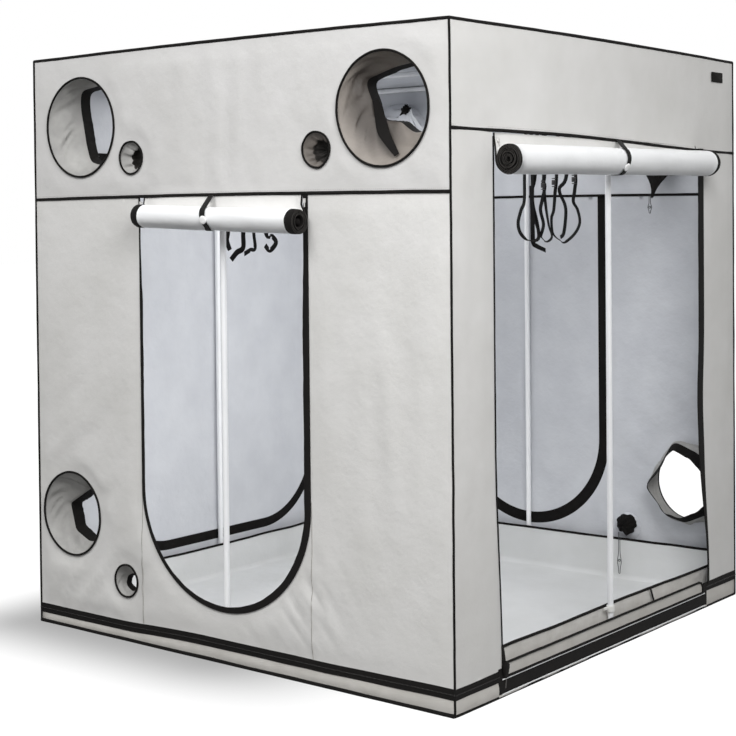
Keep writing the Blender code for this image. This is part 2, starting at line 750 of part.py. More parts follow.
def make_zips_and_doors():
    top = FRONT_SEAM
    zip_tape("front_door_zip", "front", U_HALF, U_FOOT, U_HALF, top, U_TAPE_FRONT)
    zip_tape("back_door_zip", "back", U_HALF, U_FOOT, U_HALF, top, U_TAPE_BACK)
    side_top = SIDE_SEAM - GAP
    zip_tape("left_door_zip", "left", WIDE_HALF, WIDE_FOOT, WIDE_CORNER, side_top, WIDE_TAPE)
    back = closed_door("back_door", "back", U_HALF, U_FOOT, U_HALF, top, U_TAPE_BACK)
    left = closed_door("left_door", "left", WIDE_HALF, WIDE_FOOT, WIDE_CORNER, side_top, WIDE_TAPE)
    pivot("back_door_swing", on_wall("back", 0, 0, top), [back])
    pivot("left_door_swing", on_wall("left", 0, 0, side_top), [left])

    near = GATE_NEAR + GAP
    far = GATE_FAR - GAP
    foot = GATE_TAPE_FOOT
    rise = foot + GATE_TAPE_RISE
    trim_near = GATE_NEAR + GATE_TRIM + GAP
    trim_far = GATE_FAR - GATE_TRIM - GAP
    clear = BAND_HIGH + GAP
    outline = [
        (trim_near, foot), (trim_far, foot), (trim_far, clear), (far, clear), (far, side_top),
        (far - GATE_TAPE_FAR, side_top), (far - GATE_TAPE_FAR, clear + GATE_TAPE_RISE),
        (trim_far - GATE_TAPE_RISE, clear + GATE_TAPE_RISE), (trim_far - GATE_TAPE_RISE, rise),
        (trim_near + GATE_TAPE_RISE, rise), (trim_near + GATE_TAPE_RISE, clear + GATE_TAPE_RISE),
        (near + GATE_TAPE_NEAR, clear + GATE_TAPE_RISE), (near + GATE_TAPE_NEAR, side_top),
        (near, side_top), (near, clear), (trim_near, clear),
    ]
    panel("right_door_zip", "right", outline, [], "black_tape", thick=TAPE)

    left = trim_near + GATE_TAPE_RISE + GAP
    right = trim_far - GATE_TAPE_RISE - GAP
    outline = [(left, rise + GAP), (right, rise + GAP)]
    outline += arc(right - SILL_CORNER, SILL_HIGH - SILL_CORNER, SILL_CORNER, 0, math.pi / 2, SILL_STEPS)
    outline.append((left, SILL_HIGH))
    panel("door_sill_flap", "right", outline, [], "outer_fabric")


# Rolled doors

def roll_path(seam, radius, centre_z, skew, half, door_length, foot_radius):
    """Path of a door that leaves the seam, runs down behind its roll and winds in from the outside."""
    centre_t = -(ROLL_STANDOFF + radius)
    top = seam - GAP
    straight = top - centre_z
    path = []
    for i in range(HEADER_STEPS):
        share = i / HEADER_STEPS
        ease = share * share * (3 - 2 * share)
        t = ROLL_SHEET / 2 * (1 - ease) - ROLL_STANDOFF * ease
        shift = skew * max(ease - SKEW_START_SHARE, 0.0) / (1 - SKEW_START_SHARE)
        path.append((t, top - straight * share, shift - half, shift + half))
    wound = door_length - straight
    turns = wound / (math.pi * (radius + ROLL_CORE))
    pitch = (radius - ROLL_CORE) / turns
    run = straight
    steps = int(turns * ROLL_STEPS)
    before = None
    for i in range(steps + 1):
        angle = math.tau * i / ROLL_STEPS
        r = radius - pitch * i / ROLL_STEPS
        point = Vector((centre_t + r * math.cos(angle), centre_z - r * math.sin(angle)))
        if before is not None:
            run += (point - before).length
        before = point
        past = max(run - (door_length - foot_radius), 0.0) / foot_radius
        keep = math.sqrt(max(1 - past * past, CORE_WIDTH_SHARE ** 2))
        path.append((point.x, point.y, skew - half * keep, skew + half * keep))
    return path


def roll_gap(path, first):
    """Least distance between the windings of a roll, from one winding's points to the next one's lines."""
    wound = [Vector((t, z)) for t, z, _, _ in path[first:]]
    least = math.inf
    for i, point in enumerate(wound):
        for j in range(i + ROLL_STEPS // 2, len(wound) - 1):
            _, share = intersect_point_line(point, wound[j], wound[j + 1])
            near = wound[j].lerp(wound[j + 1], min(max(share, 0.0), 1.0))
            least = min(least, (near - point).length)
    return least - ROLL_SHEET


def strap_path(seam, radius, centre_z, top_s, foot_s):
    """Path of the webbing that holds a roll: from the seam in front, under it and up behind the door."""
    centre_t = -(ROLL_STANDOFF + radius)
    reach = radius + ROLL_SHEET / 2 + STRAP_LOOSE
    start = Vector((-WEBBING / 2 - STRAP_LOOSE, seam - GAP))
    off = start - Vector((centre_t, centre_z))
    first = math.atan2(off.y, off.x) + math.acos(reach / off.length)
    path = [(start.x, start.y, top_s)]
    last = math.tau
    for i in range(STRAP_STEPS + 1):
        angle = first + (last - first) * i / STRAP_STEPS
        share = min(i / (STRAP_STEPS / 2), 1.0)
        s = top_s + (foot_s - top_s) * (1 + share) / 2
        path.append((centre_t + reach * math.cos(angle), centre_z + reach * math.sin(angle), s))
    inside = ROLL_SHEET + STRAP_LOOSE
    lift = seam - centre_z
    for i in range(1, HEADER_STEPS + 1):
        share = i / HEADER_STEPS
        ease = share * share * (3 - 2 * share)
        t = centre_t + reach + (inside - centre_t - reach) * ease
        path.append((t, centre_z + (lift - GAP) * share, foot_s))
    half = WEBBING_WIDTH / 2
    return [(t, z, s - half, s + half) for t, z, s in path]


def roll_strap(name, wall, seam, radius, centre_z, top_s, foot_s):
    """Webbing strap of a roll with its oval snap in front."""
    path = strap_path(seam, radius, centre_z, top_s, foot_s)
    strap = ribbon(name, wall, path, WEBBING, "webbing")
    t, z, low, high = min(path, key=lambda place: place[0])
    middle = (low + high) / 2
    start = on_wall(wall, middle, t, z)
    end = on_wall(wall, middle, t - WEBBING / 2 - SNAP_THICK, z)
    cut(strap, rod(name + "_snap", start, end, SNAP_RADIUS, SNAP_SIDES, "webbing"), "UNION")
    return strap


def make_rolls():
    front_z = FRONT_SEAM - FRONT_ROLL_DROP
    gate_z = SIDE_SEAM - GATE_ROLL_DROP
    front_half = U_HALF - U_TAPE_FRONT - GAP
    gate_half = min(-GATE_NEAR, GATE_FAR) - GATE_TAPE_FAR - 2 * GAP
    rolls = (
        ("front", FRONT_SEAM, FRONT_ROLL_RADIUS, front_z, FRONT_ROLL_SKEW, front_half,
         FRONT_SEAM - U_FOOT, U_HALF, FRONT_STRAP_TOP_S, FRONT_STRAP_FOOT_S),
        ("right", SIDE_SEAM, GATE_ROLL_RADIUS, gate_z, GATE_ROLL_SKEW, gate_half,
         SIDE_SEAM - BAND_HIGH, SILL_CORNER, GATE_STRAP_TOP_S, GATE_STRAP_FOOT_S),
    )
    for wall, seam, radius, centre, skew, half, length, foot, top_s, foot_s in rolls:
        path = roll_path(seam, radius, centre, skew, half, length, foot)
        roll = ribbon(wall + "_door_roll", wall, path, ROLL_SHEET, "door_fabric")
        gap = roll_gap(path, HEADER_STEPS)
        print(f"{wall} roll: {length:.3f} m of door, least gap {gap * 1000:.2f} mm")
        strap = roll_strap(wall + "_roll_strap", wall, seam, radius, centre, top_s, foot_s)
        pivot(wall + "_door_lift", on_wall(wall, 0, 0, seam), [roll, strap])


# Zip sliders

def slider(name, wall, s, z):
    """Slider body on the tape with its pull hanging below; z is the body's middle."""
    foot = z - SLIDER_HEIGHT / 2 - PULL_LENGTH
    bm = bmesh.new()
    outline = [
        (s - SLIDER_WIDTH / 2, z + SLIDER_HEIGHT / 2), (s - SLIDER_WIDTH / 2, z - SLIDER_HEIGHT / 4),
        (s - PULL_WIDTH / 2, z - SLIDER_HEIGHT / 2), (s - PULL_WIDTH / 2, foot),
        (s + PULL_WIDTH / 2, foot), (s + PULL_WIDTH / 2, z - SLIDER_HEIGHT / 2),
        (s + SLIDER_WIDTH / 2, z - SLIDER_HEIGHT / 4), (s + SLIDER_WIDTH / 2, z + SLIDER_HEIGHT / 2),
    ]
    deep = (SLIDER_DEPTH, SLIDER_DEPTH, SLIDER_DEPTH, GAP + PULL_THICK, GAP + PULL_THICK, SLIDER_DEPTH,
            SLIDER_DEPTH, SLIDER_DEPTH)
    back = [bm.verts.new(on_wall(wall, a, -GAP, b)) for a, b in outline]
    front = [bm.verts.new(on_wall(wall, a, -GAP - d, b)) for (a, b), d in zip(outline, deep)]
    bridge(bm, back, front)
    flat = [[Vector((a, b, 0)) for a, b in outline]]
    for corners in tessellate_polygon(flat):
        bm.faces.new([back[i] for i in corners])
        bm.faces.new([front[i] for i in corners])
    body = finish(name, bm, "slider_metal", smooth=False)
    pivot(name + "_slide", on_wall(wall, s, 0, z), [body])


def make_sliders():
    tape = U_HALF - U_TAPE_FRONT / 2
    top = FRONT_SEAM - SLIDER_DROP
    slider("zip_slider_front_left", "front", -tape, top)
    slider("zip_slider_front_right", "front", tape, top)
    near = GATE_NEAR + GATE_TRIM + SLIDER_START
    slider("zip_slider_right", "right", near, GATE_TAPE_FOOT + GATE_TAPE_RISE / 2)


# Hanging straps

def flat_strap(bm, route, width_way):
    """Webbing along a route of world points, its width along one direction; the ends are closed."""
    width = Vector(width_way) * WEBBING_WIDTH / 2
    rings = []
    for i, point in enumerate(route):
        before = route[max(i - 1, 0)]
        after = route[min(i + 1, len(route) - 1)]
        along = (after - before).normalized()
        side = along.cross(Vector(width_way)).normalized() * WEBBING
        rings.append([
            bm.verts.new(point - width - side / 2), bm.verts.new(point + width - side / 2),
            bm.verts.new(point + width + side / 2), bm.verts.new(point - width + side / 2),
        ])
    for ring_a, ring_b in zip(rings, rings[1:]):
        bridge(bm, ring_a, ring_b)
    cap(bm, rings[0])
    cap(bm, rings[-1])


def strap_bundle(name, x_middle, y, lengths, spacing):
    """Straps that hang from one webbing wrap round a roof bar."""
    count = len(lengths)
    # The flats of the wrap clear the bar's corners, so that it turns freely
    inner = (POLE_RADIUS + GAP) / math.cos(math.pi / POLE_SIDES)
    outer = inner + WRAP_THICK
    half = (count - 1) * spacing / 2 + WEBBING_WIDTH / 2
    bm = bmesh.new()
    rings = []
    for x, radius in ((-half, inner), (half, inner), (half, outer), (-half, outer)):
        points = round_points(Vector((x_middle + x, y, RAIL_HIGH)), Vector((1, 0, 0)), radius, POLE_SIDES)
        rings.append([bm.verts.new(point) for point in points])
    for i in range(len(rings)):
        bridge(bm, rings[i], rings[(i + 1) % len(rings)])
    wrap = finish(name, bm, "webbing", smooth=False)
    top = RAIL_HIGH - inner - WRAP_THICK / 2
    for i, drop in enumerate(lengths):
        x = x_middle + (i - (count - 1) / 2) * spacing
        sway = drop * STRAP_SWAY_SHARES[i]
        bm = bmesh.new()
        route = []
        for j in range(STRAP_RUNS + 1):
            share = j / STRAP_RUNS
            route.append(Vector((x, y + sway * math.sin(math.pi * share), top - drop * share)))
        flat_strap(bm, route, (1, 0, 0))
        cut(wrap, finish(f"{name}_strap_{i}", bm, "webbing", smooth=False), "UNION")
        bm = bmesh.new()
        low = route[-1]
        half_buckle = Vector((BUCKLE_WIDTH / 2, BUCKLE_THICK / 2, BUCKLE_HEIGHT / 2))
        middle = low - Vector((0, 0, BUCKLE_HEIGHT / 4))
        box_mesh(bm, middle - half_buckle, middle + half_buckle)
        cut(wrap, finish(f"{name}_buckle_{i}", bm, "webbing", smooth=False), "UNION")
    return wrap


# Drawcords

def cord_loop(name, wall, s, t, z, drop):
    """Doubled drawcord that hangs from a hem: down one side, round the foot and up the other."""
    half = CORD_SPACING / 2
    down = []
    steps = round(drop / (CORD_POINT_DIAMETERS * 2 * CORD_RADIUS))
    for i in range(steps + 1):
        share = i / steps
        near = (share - CORD_BULGE_SHARE) / CORD_BULGE_LENGTH_SHARE
        spread = half + CORD_BULGE * math.exp(-near ** 2)
        down.append((s - spread, z - (drop - half) * share))
    foot = [
        (s - half * math.cos(math.pi * k / 4), z - drop + half - half * math.sin(math.pi * k / 4))
        for k in (1, 2, 3)
    ]
    up = [(2 * s - a, b) for a, b in reversed(down)]
    points = [on_wall(wall, a, t, b) for a, b in down + foot + up]
    curve = bpy.data.curves.new(name, "CURVE")
    curve.dimensions = "3D"
    curve.bevel_depth = CORD_RADIUS
    curve.bevel_resolution = 2
    curve.use_fill_caps = True
    spline = curve.splines.new("POLY")
    spline.points.add(len(points) - 1)
    for place, point in zip(spline.points, points):
        place.co = (*point, 1.0)
    obj = bpy.data.objects.new(name, curve)
    curve.materials.append(MATERIALS["cord"])
    bpy.context.scene.collection.objects.link(obj)
    return obj


def make_cords():
    """The cords of the two cinched sleeves, each starting at the foot of its sleeve's mouth."""
    clear = CORD_RADIUS + GAP
    mouth = SMALL_RADIUS * SMALL_SHARES["back_lower_left"][0]
    hem = math.sqrt(mouth ** 2 - LOWER_CORD_OFFSET ** 2)
    cord_loop("drawcord_lower", "back", SMALL_LOWER_S + LOWER_CORD_OFFSET, SMALL_DEPTH + clear,
              SMALL_LOWER_Z - hem, LOWER_CORD_DROP)
    depth_share, mouth_share, shift_share, sag_share, _, _ = SLEEVE_SHARES["back_upper_left"]
    rim = UPPER_PORT_RADIUS - GAP - FABRIC
    cord_loop("drawcord_upper", "back", -UPPER_PORT_S + UPPER_PORT_RADIUS * shift_share,
              UPPER_PORT_RADIUS * depth_share + clear,
              UPPER_PORT_Z - UPPER_PORT_RADIUS * sag_share - rim * mouth_share, UPPER_CORD_DROP)


def main():
    clear_scene()
    MATERIALS.update(make_materials())
    make_frame()
    make_base()
    make_walls()
    make_sleeves()
    make_zips_and_doors()
    make_rolls()
    make_sliders()
    make_roof_bars()
    make_cords()


main()
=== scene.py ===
import json
import math

import bmesh
import bpy
import numpy as np
from mathutils import Matrix, Vector, geometry, noise

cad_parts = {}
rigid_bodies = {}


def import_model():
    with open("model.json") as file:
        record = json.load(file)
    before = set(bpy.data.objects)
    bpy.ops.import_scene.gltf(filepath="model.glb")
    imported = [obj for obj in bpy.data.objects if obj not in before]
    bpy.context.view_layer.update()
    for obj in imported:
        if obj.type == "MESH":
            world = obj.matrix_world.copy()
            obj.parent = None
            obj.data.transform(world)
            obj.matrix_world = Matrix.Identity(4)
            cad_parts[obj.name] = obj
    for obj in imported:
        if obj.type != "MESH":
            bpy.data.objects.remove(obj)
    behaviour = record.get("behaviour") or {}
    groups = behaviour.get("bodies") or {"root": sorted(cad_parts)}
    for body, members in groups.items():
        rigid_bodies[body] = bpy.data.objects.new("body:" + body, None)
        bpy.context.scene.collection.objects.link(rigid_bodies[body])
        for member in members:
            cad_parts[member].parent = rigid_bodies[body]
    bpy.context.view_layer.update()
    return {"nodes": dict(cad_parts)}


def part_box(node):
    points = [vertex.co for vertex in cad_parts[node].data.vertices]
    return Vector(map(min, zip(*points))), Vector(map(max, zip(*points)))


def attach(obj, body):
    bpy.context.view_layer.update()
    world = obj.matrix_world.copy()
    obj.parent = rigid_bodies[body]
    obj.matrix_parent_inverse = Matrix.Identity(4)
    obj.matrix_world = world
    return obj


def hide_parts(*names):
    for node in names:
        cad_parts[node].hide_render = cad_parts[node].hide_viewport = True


# Grow tent: a white pole frame inside a light grey fabric skin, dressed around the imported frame.
# Places on a wall are (s, z, out): s runs to the right as seen from outside, out is how far a
# point stands proud of the wall. All sizes are in metres unless a note says otherwise.

for leftover in list(bpy.data.objects):
    bpy.data.objects.remove(leftover, do_unlink=True)
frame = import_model()
scene = bpy.context.scene


# Camera

view = {
    "place": (3.835, -4.966, 1.583),
    "yaw": 38.62,  # degrees to the left of +Y
    "pitch": 1.25,  # degrees down
    "roll": -0.55,  # degrees
    "lens": 76.2,  # mm on a sensor 36 mm wide
    "shiftY": -0.16,  # the photograph is framed a little below its own axis
}


def makeCamera():
    data = bpy.data.cameras.new("camera")
    data.lens = view["lens"]
    data.sensor_width = 36
    data.shift_y = view["shiftY"]
    data.clip_end = 200
    camera = bpy.data.objects.new("camera", data)
    scene.collection.objects.link(camera)
    yaw, pitch, roll = (math.radians(view[key]) for key in ("yaw", "pitch", "roll"))
    ahead = Vector((-math.sin(yaw) * math.cos(pitch), math.cos(yaw) * math.cos(pitch), -math.sin(pitch)))
    level = Vector((math.cos(yaw), math.sin(yaw), 0))
    up = level.cross(ahead)
    right = level * math.cos(roll) + up * math.sin(roll)
    top = up * math.cos(roll) - level * math.sin(roll)
    turned = Matrix((right, top, -ahead)).transposed().to_4x4()
    camera.matrix_world = Matrix.Translation(view["place"]) @ turned
    scene.camera = camera


makeCamera()


# Places on the tent, read from the frame

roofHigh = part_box("roof_panel")[1]
halfX, halfY, roofTop = roofHigh[0], roofHigh[1], roofHigh[2]
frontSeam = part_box("front_wall")[1][2]
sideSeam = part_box("right_door_zip")[1][2]
bandTop = 0.098  # where the wide door's uprights meet the base
walls = ("front", "right", "back", "left")

wallTurn = {"front": 0.0, "right": math.pi / 2, "back": math.pi, "left": 1.5 * math.pi}
wallReach = {"front": halfY, "right": halfX, "back": halfY, "left": halfX}
wallHalf = {"front": halfX, "right": halfY, "back": halfX, "left": halfY}

cloth = {
    "thick": 0.0012,
    "tape": 0.0030,  # zip tape with its two layers of cloth
    "band": 0.0026,  # the zip band round the base
    "sleeve": 0.0016,
    "smallSleeve": 0.0012,
    "bunch": 0.0014,
    "mesh": 0.024, "roofMesh": 0.032,  # spacing of a panel's points
}

# How far the seams run out of level, and where they do
seamRun = {"rise": 0.0025, "arch": 0.006, "pace": 1.4, "shift": 0.1, "sideRise": 0.013, "droop": 0.030}

# How the wide door's two upright edges lean and draw in, as shifts along the wall
edgeRun = {
    "near": 0.010, "nearLean": 0.030, "leanFoot": 0.10, "leanReach": 0.75,
    "far": 0.014, "farWaist": 0.014, "waistAt": 0.84, "waistReach": 0.18,
    "farFlare": 0.034, "flareFoot": 0.15, "flareReach": 0.45,
}


def onWall(wall, s, z, out=0.0):
    turn = wallTurn[wall]
    y = -(wallReach[wall] + out)
    return Vector((math.cos(turn) * s - math.sin(turn) * y, math.sin(turn) * s + math.cos(turn) * y, z))


def seamAt(wall, s):
    # The seams don't run quite level: the front one arches, the side one droops towards the back
    if wall in ("front", "back"):
        arch = max(math.cos(seamRun["pace"] * (s + seamRun["shift"])), 0)
        return frontSeam + seamRun["rise"] + seamRun["arch"] * arch
    if wall == "left":
        return sideSeam
    return sideSeam + seamRun["sideRise"] - seamRun["droop"] * ease((s + 0.5) / 1.5)


def nearEdge(z):
    # The wide door's near edge leans in towards its foot
    lean = 1 - ease((z - edgeRun["leanFoot"]) / edgeRun["leanReach"])
    return gate["near"] - edgeRun["near"] + edgeRun["nearLean"] * lean


def farEdge(z):
    # The far edge is drawn in at mid height and flares out at the foot
    waist = math.exp(-((z - edgeRun["waistAt"]) / edgeRun["waistReach"]) ** 2)
    flare = 1 - ease((z - edgeRun["flareFoot"]) / edgeRun["flareReach"])
    return gate["far"] - edgeRun["far"] - edgeRun["farWaist"] * waist + edgeRun["farFlare"] * flare


def seamLine(wall, start, end, step=0.05):
    return [(s, seamAt(wall, s)) for s in spaced(start, end, max(round(abs(end - start) / step), 1))]


def outwardOf(wall):
    return onWall(wall, 0, 0, 1) - onWall(wall, 0, 0, 0)


def ease(share):
    share = min(max(share, 0.0), 1.0)
    return share * share * (3 - 2 * share)


def wander(x, y=0.0, z=0.0):
    # Smooth noise between about -1 and 1, the same on each run
    return noise.noise(Vector((x, y, z)))


def settle(obj, body, node=None):
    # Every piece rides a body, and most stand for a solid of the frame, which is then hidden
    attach(obj, body)
    if node:
        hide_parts(node)
    return obj


# Materials

def toLinear(hexText):
    channels = [int(hexText[i:i + 2], 16) / 255 for i in (1, 3, 5)]
    return (*[c / 12.92 if c <= 0.04045 else ((c + 0.055) / 1.055) ** 2.4 for c in channels], 1.0)


def addNode(tree, kind, settings=None, links=None):
    node = tree.nodes.new(kind)
    for key, value in (settings or {}).items():
        if isinstance(key, str) and hasattr(node, key):
            setattr(node, key, value)
        else:
            node.inputs[key].default_value = value
    for key, source in (links or {}).items():
        tree.links.new(source, node.inputs[key])
    return node


def newMaterial(name, **values):
    material = bpy.data.materials.new(name)
    material.use_nodes = True
    shader = material.node_tree.nodes["Principled BSDF"]
    for key, value in values.items():
        socket = shader.inputs[key.replace("_", " ")]
        socket.default_value = toLinear(value) if isinstance(value, str) else value
    return material, material.node_tree, shader


def mottled(tree, shader, place, first, second, patch):
    # Two close colours that drift into each other over patches of the given size
    drift = addNode(tree, "ShaderNodeTexNoise", {"Scale": 1 / patch, "Detail": 3, "Roughness": 0.55},
                    {"Vector": place})
    ramp = addNode(tree, "ShaderNodeValToRGB", links={"Fac": drift.outputs["Fac"]})
    for element, share, colour in zip(ramp.color_ramp.elements, (0.3, 0.7), (first, second)):
        element.position = share
        element.color = toLinear(colour)
    tree.links.new(ramp.outputs["Color"], shader.inputs["Base Color"])


waveRepeat = 0.31416  # a wave texture repeats each 0.314 / scale metres


def threads(tree, uv, along, across):
    # Height of a plain weave with these thread spacings in metres
    sets = []
    for ways, spacing in (("X", along), ("Y", across)):
        wave = addNode(tree, "ShaderNodeTexWave", {"bands_direction": ways, "Scale": waveRepeat / spacing,
                                                   "Distortion": 0.4, "Detail": 1.0}, {"Vector": uv})
        sets.append(wave.outputs["Fac"])
    weave = addNode(tree, "ShaderNodeMath", {"operation": "MULTIPLY"}, {0: sets[0], 1: sets[1]})
    return weave.outputs["Value"]


def addBump(tree, shader, heights):
    # Stacks bumps, each (height socket, strength, distance)
    normal = None
    for height, strength, distance in heights:
        links = {"Height": height, "Normal": normal} if normal else {"Height": height}
        bump = addNode(tree, "ShaderNodeBump", {"Strength": strength, "Distance": distance}, links)
        normal = bump.outputs["Normal"]
    tree.links.new(normal, shader.inputs["Normal"])


def wovenMaterial(name, first, second, roughness, along, across, depth, patch=0.22, crease=0.0006,
                  **values):
    # Cloth: its weave follows the cut, its stains and creases follow the tent
    material, tree, shader = newMaterial(name, Roughness=roughness, **values)
    uv = addNode(tree, "ShaderNodeUVMap", {"uv_map": "cut"}).outputs["UV"]
    place = addNode(tree, "ShaderNodeTexCoord").outputs["Object"]
    mottled(tree, shader, place, first, second, patch)
    crumple = addNode(tree, "ShaderNodeTexNoise", {"Scale": 9.0, "Detail": 4, "Roughness": 0.6},
                      {"Vector": place})
    fine = threads(tree, uv, along, across)
    addBump(tree, shader, [(crumple.outputs["Fac"], 0.5, crease * 10), (fine, 0.4, depth)])
    return material


def plainMaterial(name, first, second, patch, grain=None, **values):
    # Moulded, coated or plated: two close colours, and grain as its size, detail, strength and height
    material, tree, shader = newMaterial(name, **values)
    place = addNode(tree, "ShaderNodeTexCoord").outputs["Object"]
    mottled(tree, shader, place, first, second, patch)
    if grain:
        size, detail, strength, height = grain
        relief = addNode(tree, "ShaderNodeTexNoise", {"Scale": 1 / size, "Detail": detail},
                         {"Vector": place})
        addBump(tree, shader, [(relief.outputs["Fac"], strength, height)])
    return material


def paintSleeveShade(material):
    # Painted shade: darkens one patch of a sleeve, round its middle and from a little way into the sleeve
    # onwards
    tree = material.node_tree
    shader = tree.nodes["Principled BSDF"]
    pale = shader.inputs["Base Color"].links[0].from_socket
    uv = addNode(tree, "ShaderNodeUVMap", {"uv_map": "cut"}).outputs["UV"]
    parts = addNode(tree, "ShaderNodeSeparateXYZ", links={"Vector": uv})
    past = addNode(tree, "ShaderNodeMath", {"operation": "SUBTRACT", 1: sleeveShade["middle"]},
                   {0: parts.outputs["X"]})
    away = addNode(tree, "ShaderNodeMath", {"operation": "ABSOLUTE"}, {0: past.outputs["Value"]})
    beside = addNode(tree, "ShaderNodeMapRange",
                     {"interpolation_type": "SMOOTHSTEP", "From Min": sleeveShade["reach"],
                      "From Max": sleeveShade["full"]},
                     {"Value": away.outputs["Value"]})
    deep = addNode(tree, "ShaderNodeMapRange",
                   {"interpolation_type": "SMOOTHSTEP", "From Max": sleeveShade["depth"]},
                   {"Value": parts.outputs["Y"]})
    share = addNode(tree, "ShaderNodeMath", {"operation": "MULTIPLY"},
                    {0: beside.outputs["Result"], 1: deep.outputs["Result"]})
    mix = addNode(tree, "ShaderNodeMix", {"data_type": "RGBA", 7: toLinear(sleeveShade["colour"])},
                  {0: share.outputs["Value"], 6: pale})
    tree.links.new(mix.outputs[2], shader.inputs["Base Color"])


strand = {"lean": 35, "spacing": 0.0014}  # degrees, metres


def braid(material):
    # Two sets of strands that cross
    tree = material.node_tree
    uv = addNode(tree, "ShaderNodeUVMap", {"uv_map": "cut"}).outputs["UV"]
    slanted = []
    for sign in (-1, 1):
        lean = addNode(tree, "ShaderNodeMapping",
                       {"Rotation": (0, 0, sign * math.radians(strand["lean"]))}, {"Vector": uv})
        wave = addNode(tree, "ShaderNodeTexWave",
                       {"bands_direction": "X", "Scale": waveRepeat / strand["spacing"]},
                       {"Vector": lean.outputs["Vector"]})
        slanted.append(wave.outputs["Fac"])
    strands = addNode(tree, "ShaderNodeMath", {"operation": "MAXIMUM"}, {0: slanted[0], 1: slanted[1]})
    addBump(tree, tree.nodes["Principled BSDF"], [(strands.outputs["Value"], 0.7, 0.0005)])


# The painted shade in one sleeve, in metres: its middle round the sleeve, how far from it the shade is full
# and how far it reaches, how deep in the sleeve it is full, and its colour
sleeveShade = {"middle": 0.66, "full": 0.20, "reach": 0.40, "depth": 0.045, "colour": "#443E39"}

# Cloths: two colours, roughness, thread spacing along and across, thread height, then the size of a stain
# and the height of the creases. A real thread of 0.3 to 0.6 mm is too fine to show, so it is drawn at 2 mm
# or more.
weaves = {
    # 600D polyester canvas, woven, with a PU coating that dulls it: even light grey, faint cross weave
    "coatedCanvas": ("#E2E1DF", "#DAD9D6", 0.62, 0.002, 0.002, 0.0005),
    # The same canvas on the headers, a little darker: painted shade, so that they read darker than the
    # walls below
    "shadedHeaderCanvas": ("#D8D7D6", "#D0CFCD", 0.62, 0.002, 0.002, 0.0005),
    # The same canvas on the base, a shade darker
    "baseCanvas": ("#D0CDC8", "#C3C0BA", 0.66, 0.002, 0.002, 0.0006, 0.09),
    # The tray's outside: the same canvas, creased by folding
    "trayCanvas": ("#E2E0DC", "#D2CFCA", 0.6, 0.002, 0.002, 0.0006, 0.07, 0.0022),
    # The tray's inside: coated cloth, smoothed where pots slide on it
    "trayLining": ("#D9DADA", "#CECFCE", 0.5, 0.003, 0.003, 0.0004, 0.3),
    # Laminated reflective film, the lining: smooth cool silver-white with a soft crinkle
    "reflectiveLining": ("#CDCFD3", "#C3C5CA", 0.46, 0.004, 0.004, 0.0003, 0.16, 0.0012),
    # The canvas of the port sleeves, thinner and greyer than the walls
    "sleeveCanvas": ("#ABAAA7", "#939290", 0.6, 0.002, 0.002, 0.0005, 0.08),
    # The sleeve next to the tent's near corner: taupe canvas, made darker as painted shade
    # for the dim inside of that port
    "shadedTaupeCanvas": ("#948D86", "#7F7871", 0.55, 0.002, 0.002, 0.0005, 0.10),
    # The lining side of the rolled doors, turned out: cleaner and whiter
    "doorLining": ("#F4F5F6", "#ECEDEE", 0.50, 0.003, 0.003, 0.0004),
    # Woven nylon zip tape and binding: near black with a dull nap
    "nylonTape": ("#151312", "#0E0D0C", 0.85, 0.0025, 0.0015, 0.0006, 0.05, 0.0004),
    # The same tape in grey: a painted highlight on the cut edges of the roll's turns,
    # and the grey hems of two bunched small sleeves
    "wornTapeAndRimHighlight": ("#34312E", "#242220", 0.7, 0.0025, 0.0015, 0.0006, 0.02, 0.0004),
    # Woven polypropylene webbing: heavier ribs across its length
    "polyWebbing": ("#171615", "#0E0D0D", 0.72, 0.0030, 0.0050, 0.0010, 0.04, 0.0004),
}
specular = {"nylonTape": 0.15, "wornTapeAndRimHighlight": 0.4, "polyWebbing": 0.15}  # the rest keep the default

# Everything else: two colours, the size of a patch, then the shader's own values
plains = {
    # Twisted polyester thread of the seams, a shade darker than the canvas it sinks into
    "seamThread": ("#A8A6A2", "#98958F", 0.02, {"Roughness": 0.7}),
    # Powder-coated steel tube: white, satin, with the coat's fine orange peel
    "powderCoatSteel": ("#FAFBFC", "#F3F4F6", 0.12, {"Roughness": 0.34, "grain": (0.004, 2, 0.12, 0.0008)}),
    # Moulded nylon corner pieces and clips: off-white, faintly mottled by the mould
    "mouldedNylon": ("#EEEEEB", "#E2E1DD", 0.03, {"Roughness": 0.46, "grain": (0.003, 3, 0.2, 0.0006)}),
    # Die-cast zinc with black lacquer: a low metallic gloss
    "lacqueredZinc": ("#2C2A28", "#45423F", 0.012, {"Roughness": 0.36, "Metallic": 0.75}),
    # Die-cast zinc, nickel plated: the bright sliders and pulls of the front zips
    "nickelPlate": ("#D9D8D6", "#BDBBB8", 0.006, {"Roughness": 0.28, "Metallic": 1.0}),
    # Moulded acetal zip coil and buckles: black with a waxy gloss
    "blackAcetal": ("#232120", "#2F2C2A", 0.01, {"Roughness": 0.32}),
    # Braided polyester drawcord: black
    "braidedCord": ("#201E1D", "#141313", 0.01, {"Roughness": 0.7, "Sheen_Weight": 0.2}),
    # Pressed brass snap cap, enamelled white: bright and round
    "enamelCap": ("#FAFAFA", "#F2F2F1", 0.01, {"Roughness": 0.25, "Coat_Weight": 0.4}),
}


def makeMaterials():
    made = {}
    for name, values in weaves.items():
        extra = {"Specular_IOR_Level": specular[name]} if name in specular else {}
        made[name] = wovenMaterial(name, *values, **extra)
    for name, (first, second, patch, values) in plains.items():
        made[name] = plainMaterial(name, first, second, patch, **values)
    # Painted shade inside the taupe sleeve
    paintSleeveShade(made["shadedTaupeCanvas"])
    braid(made["braidedCord"])
    return made


materials = makeMaterials()
print("materials:", len(materials))


# Meshes

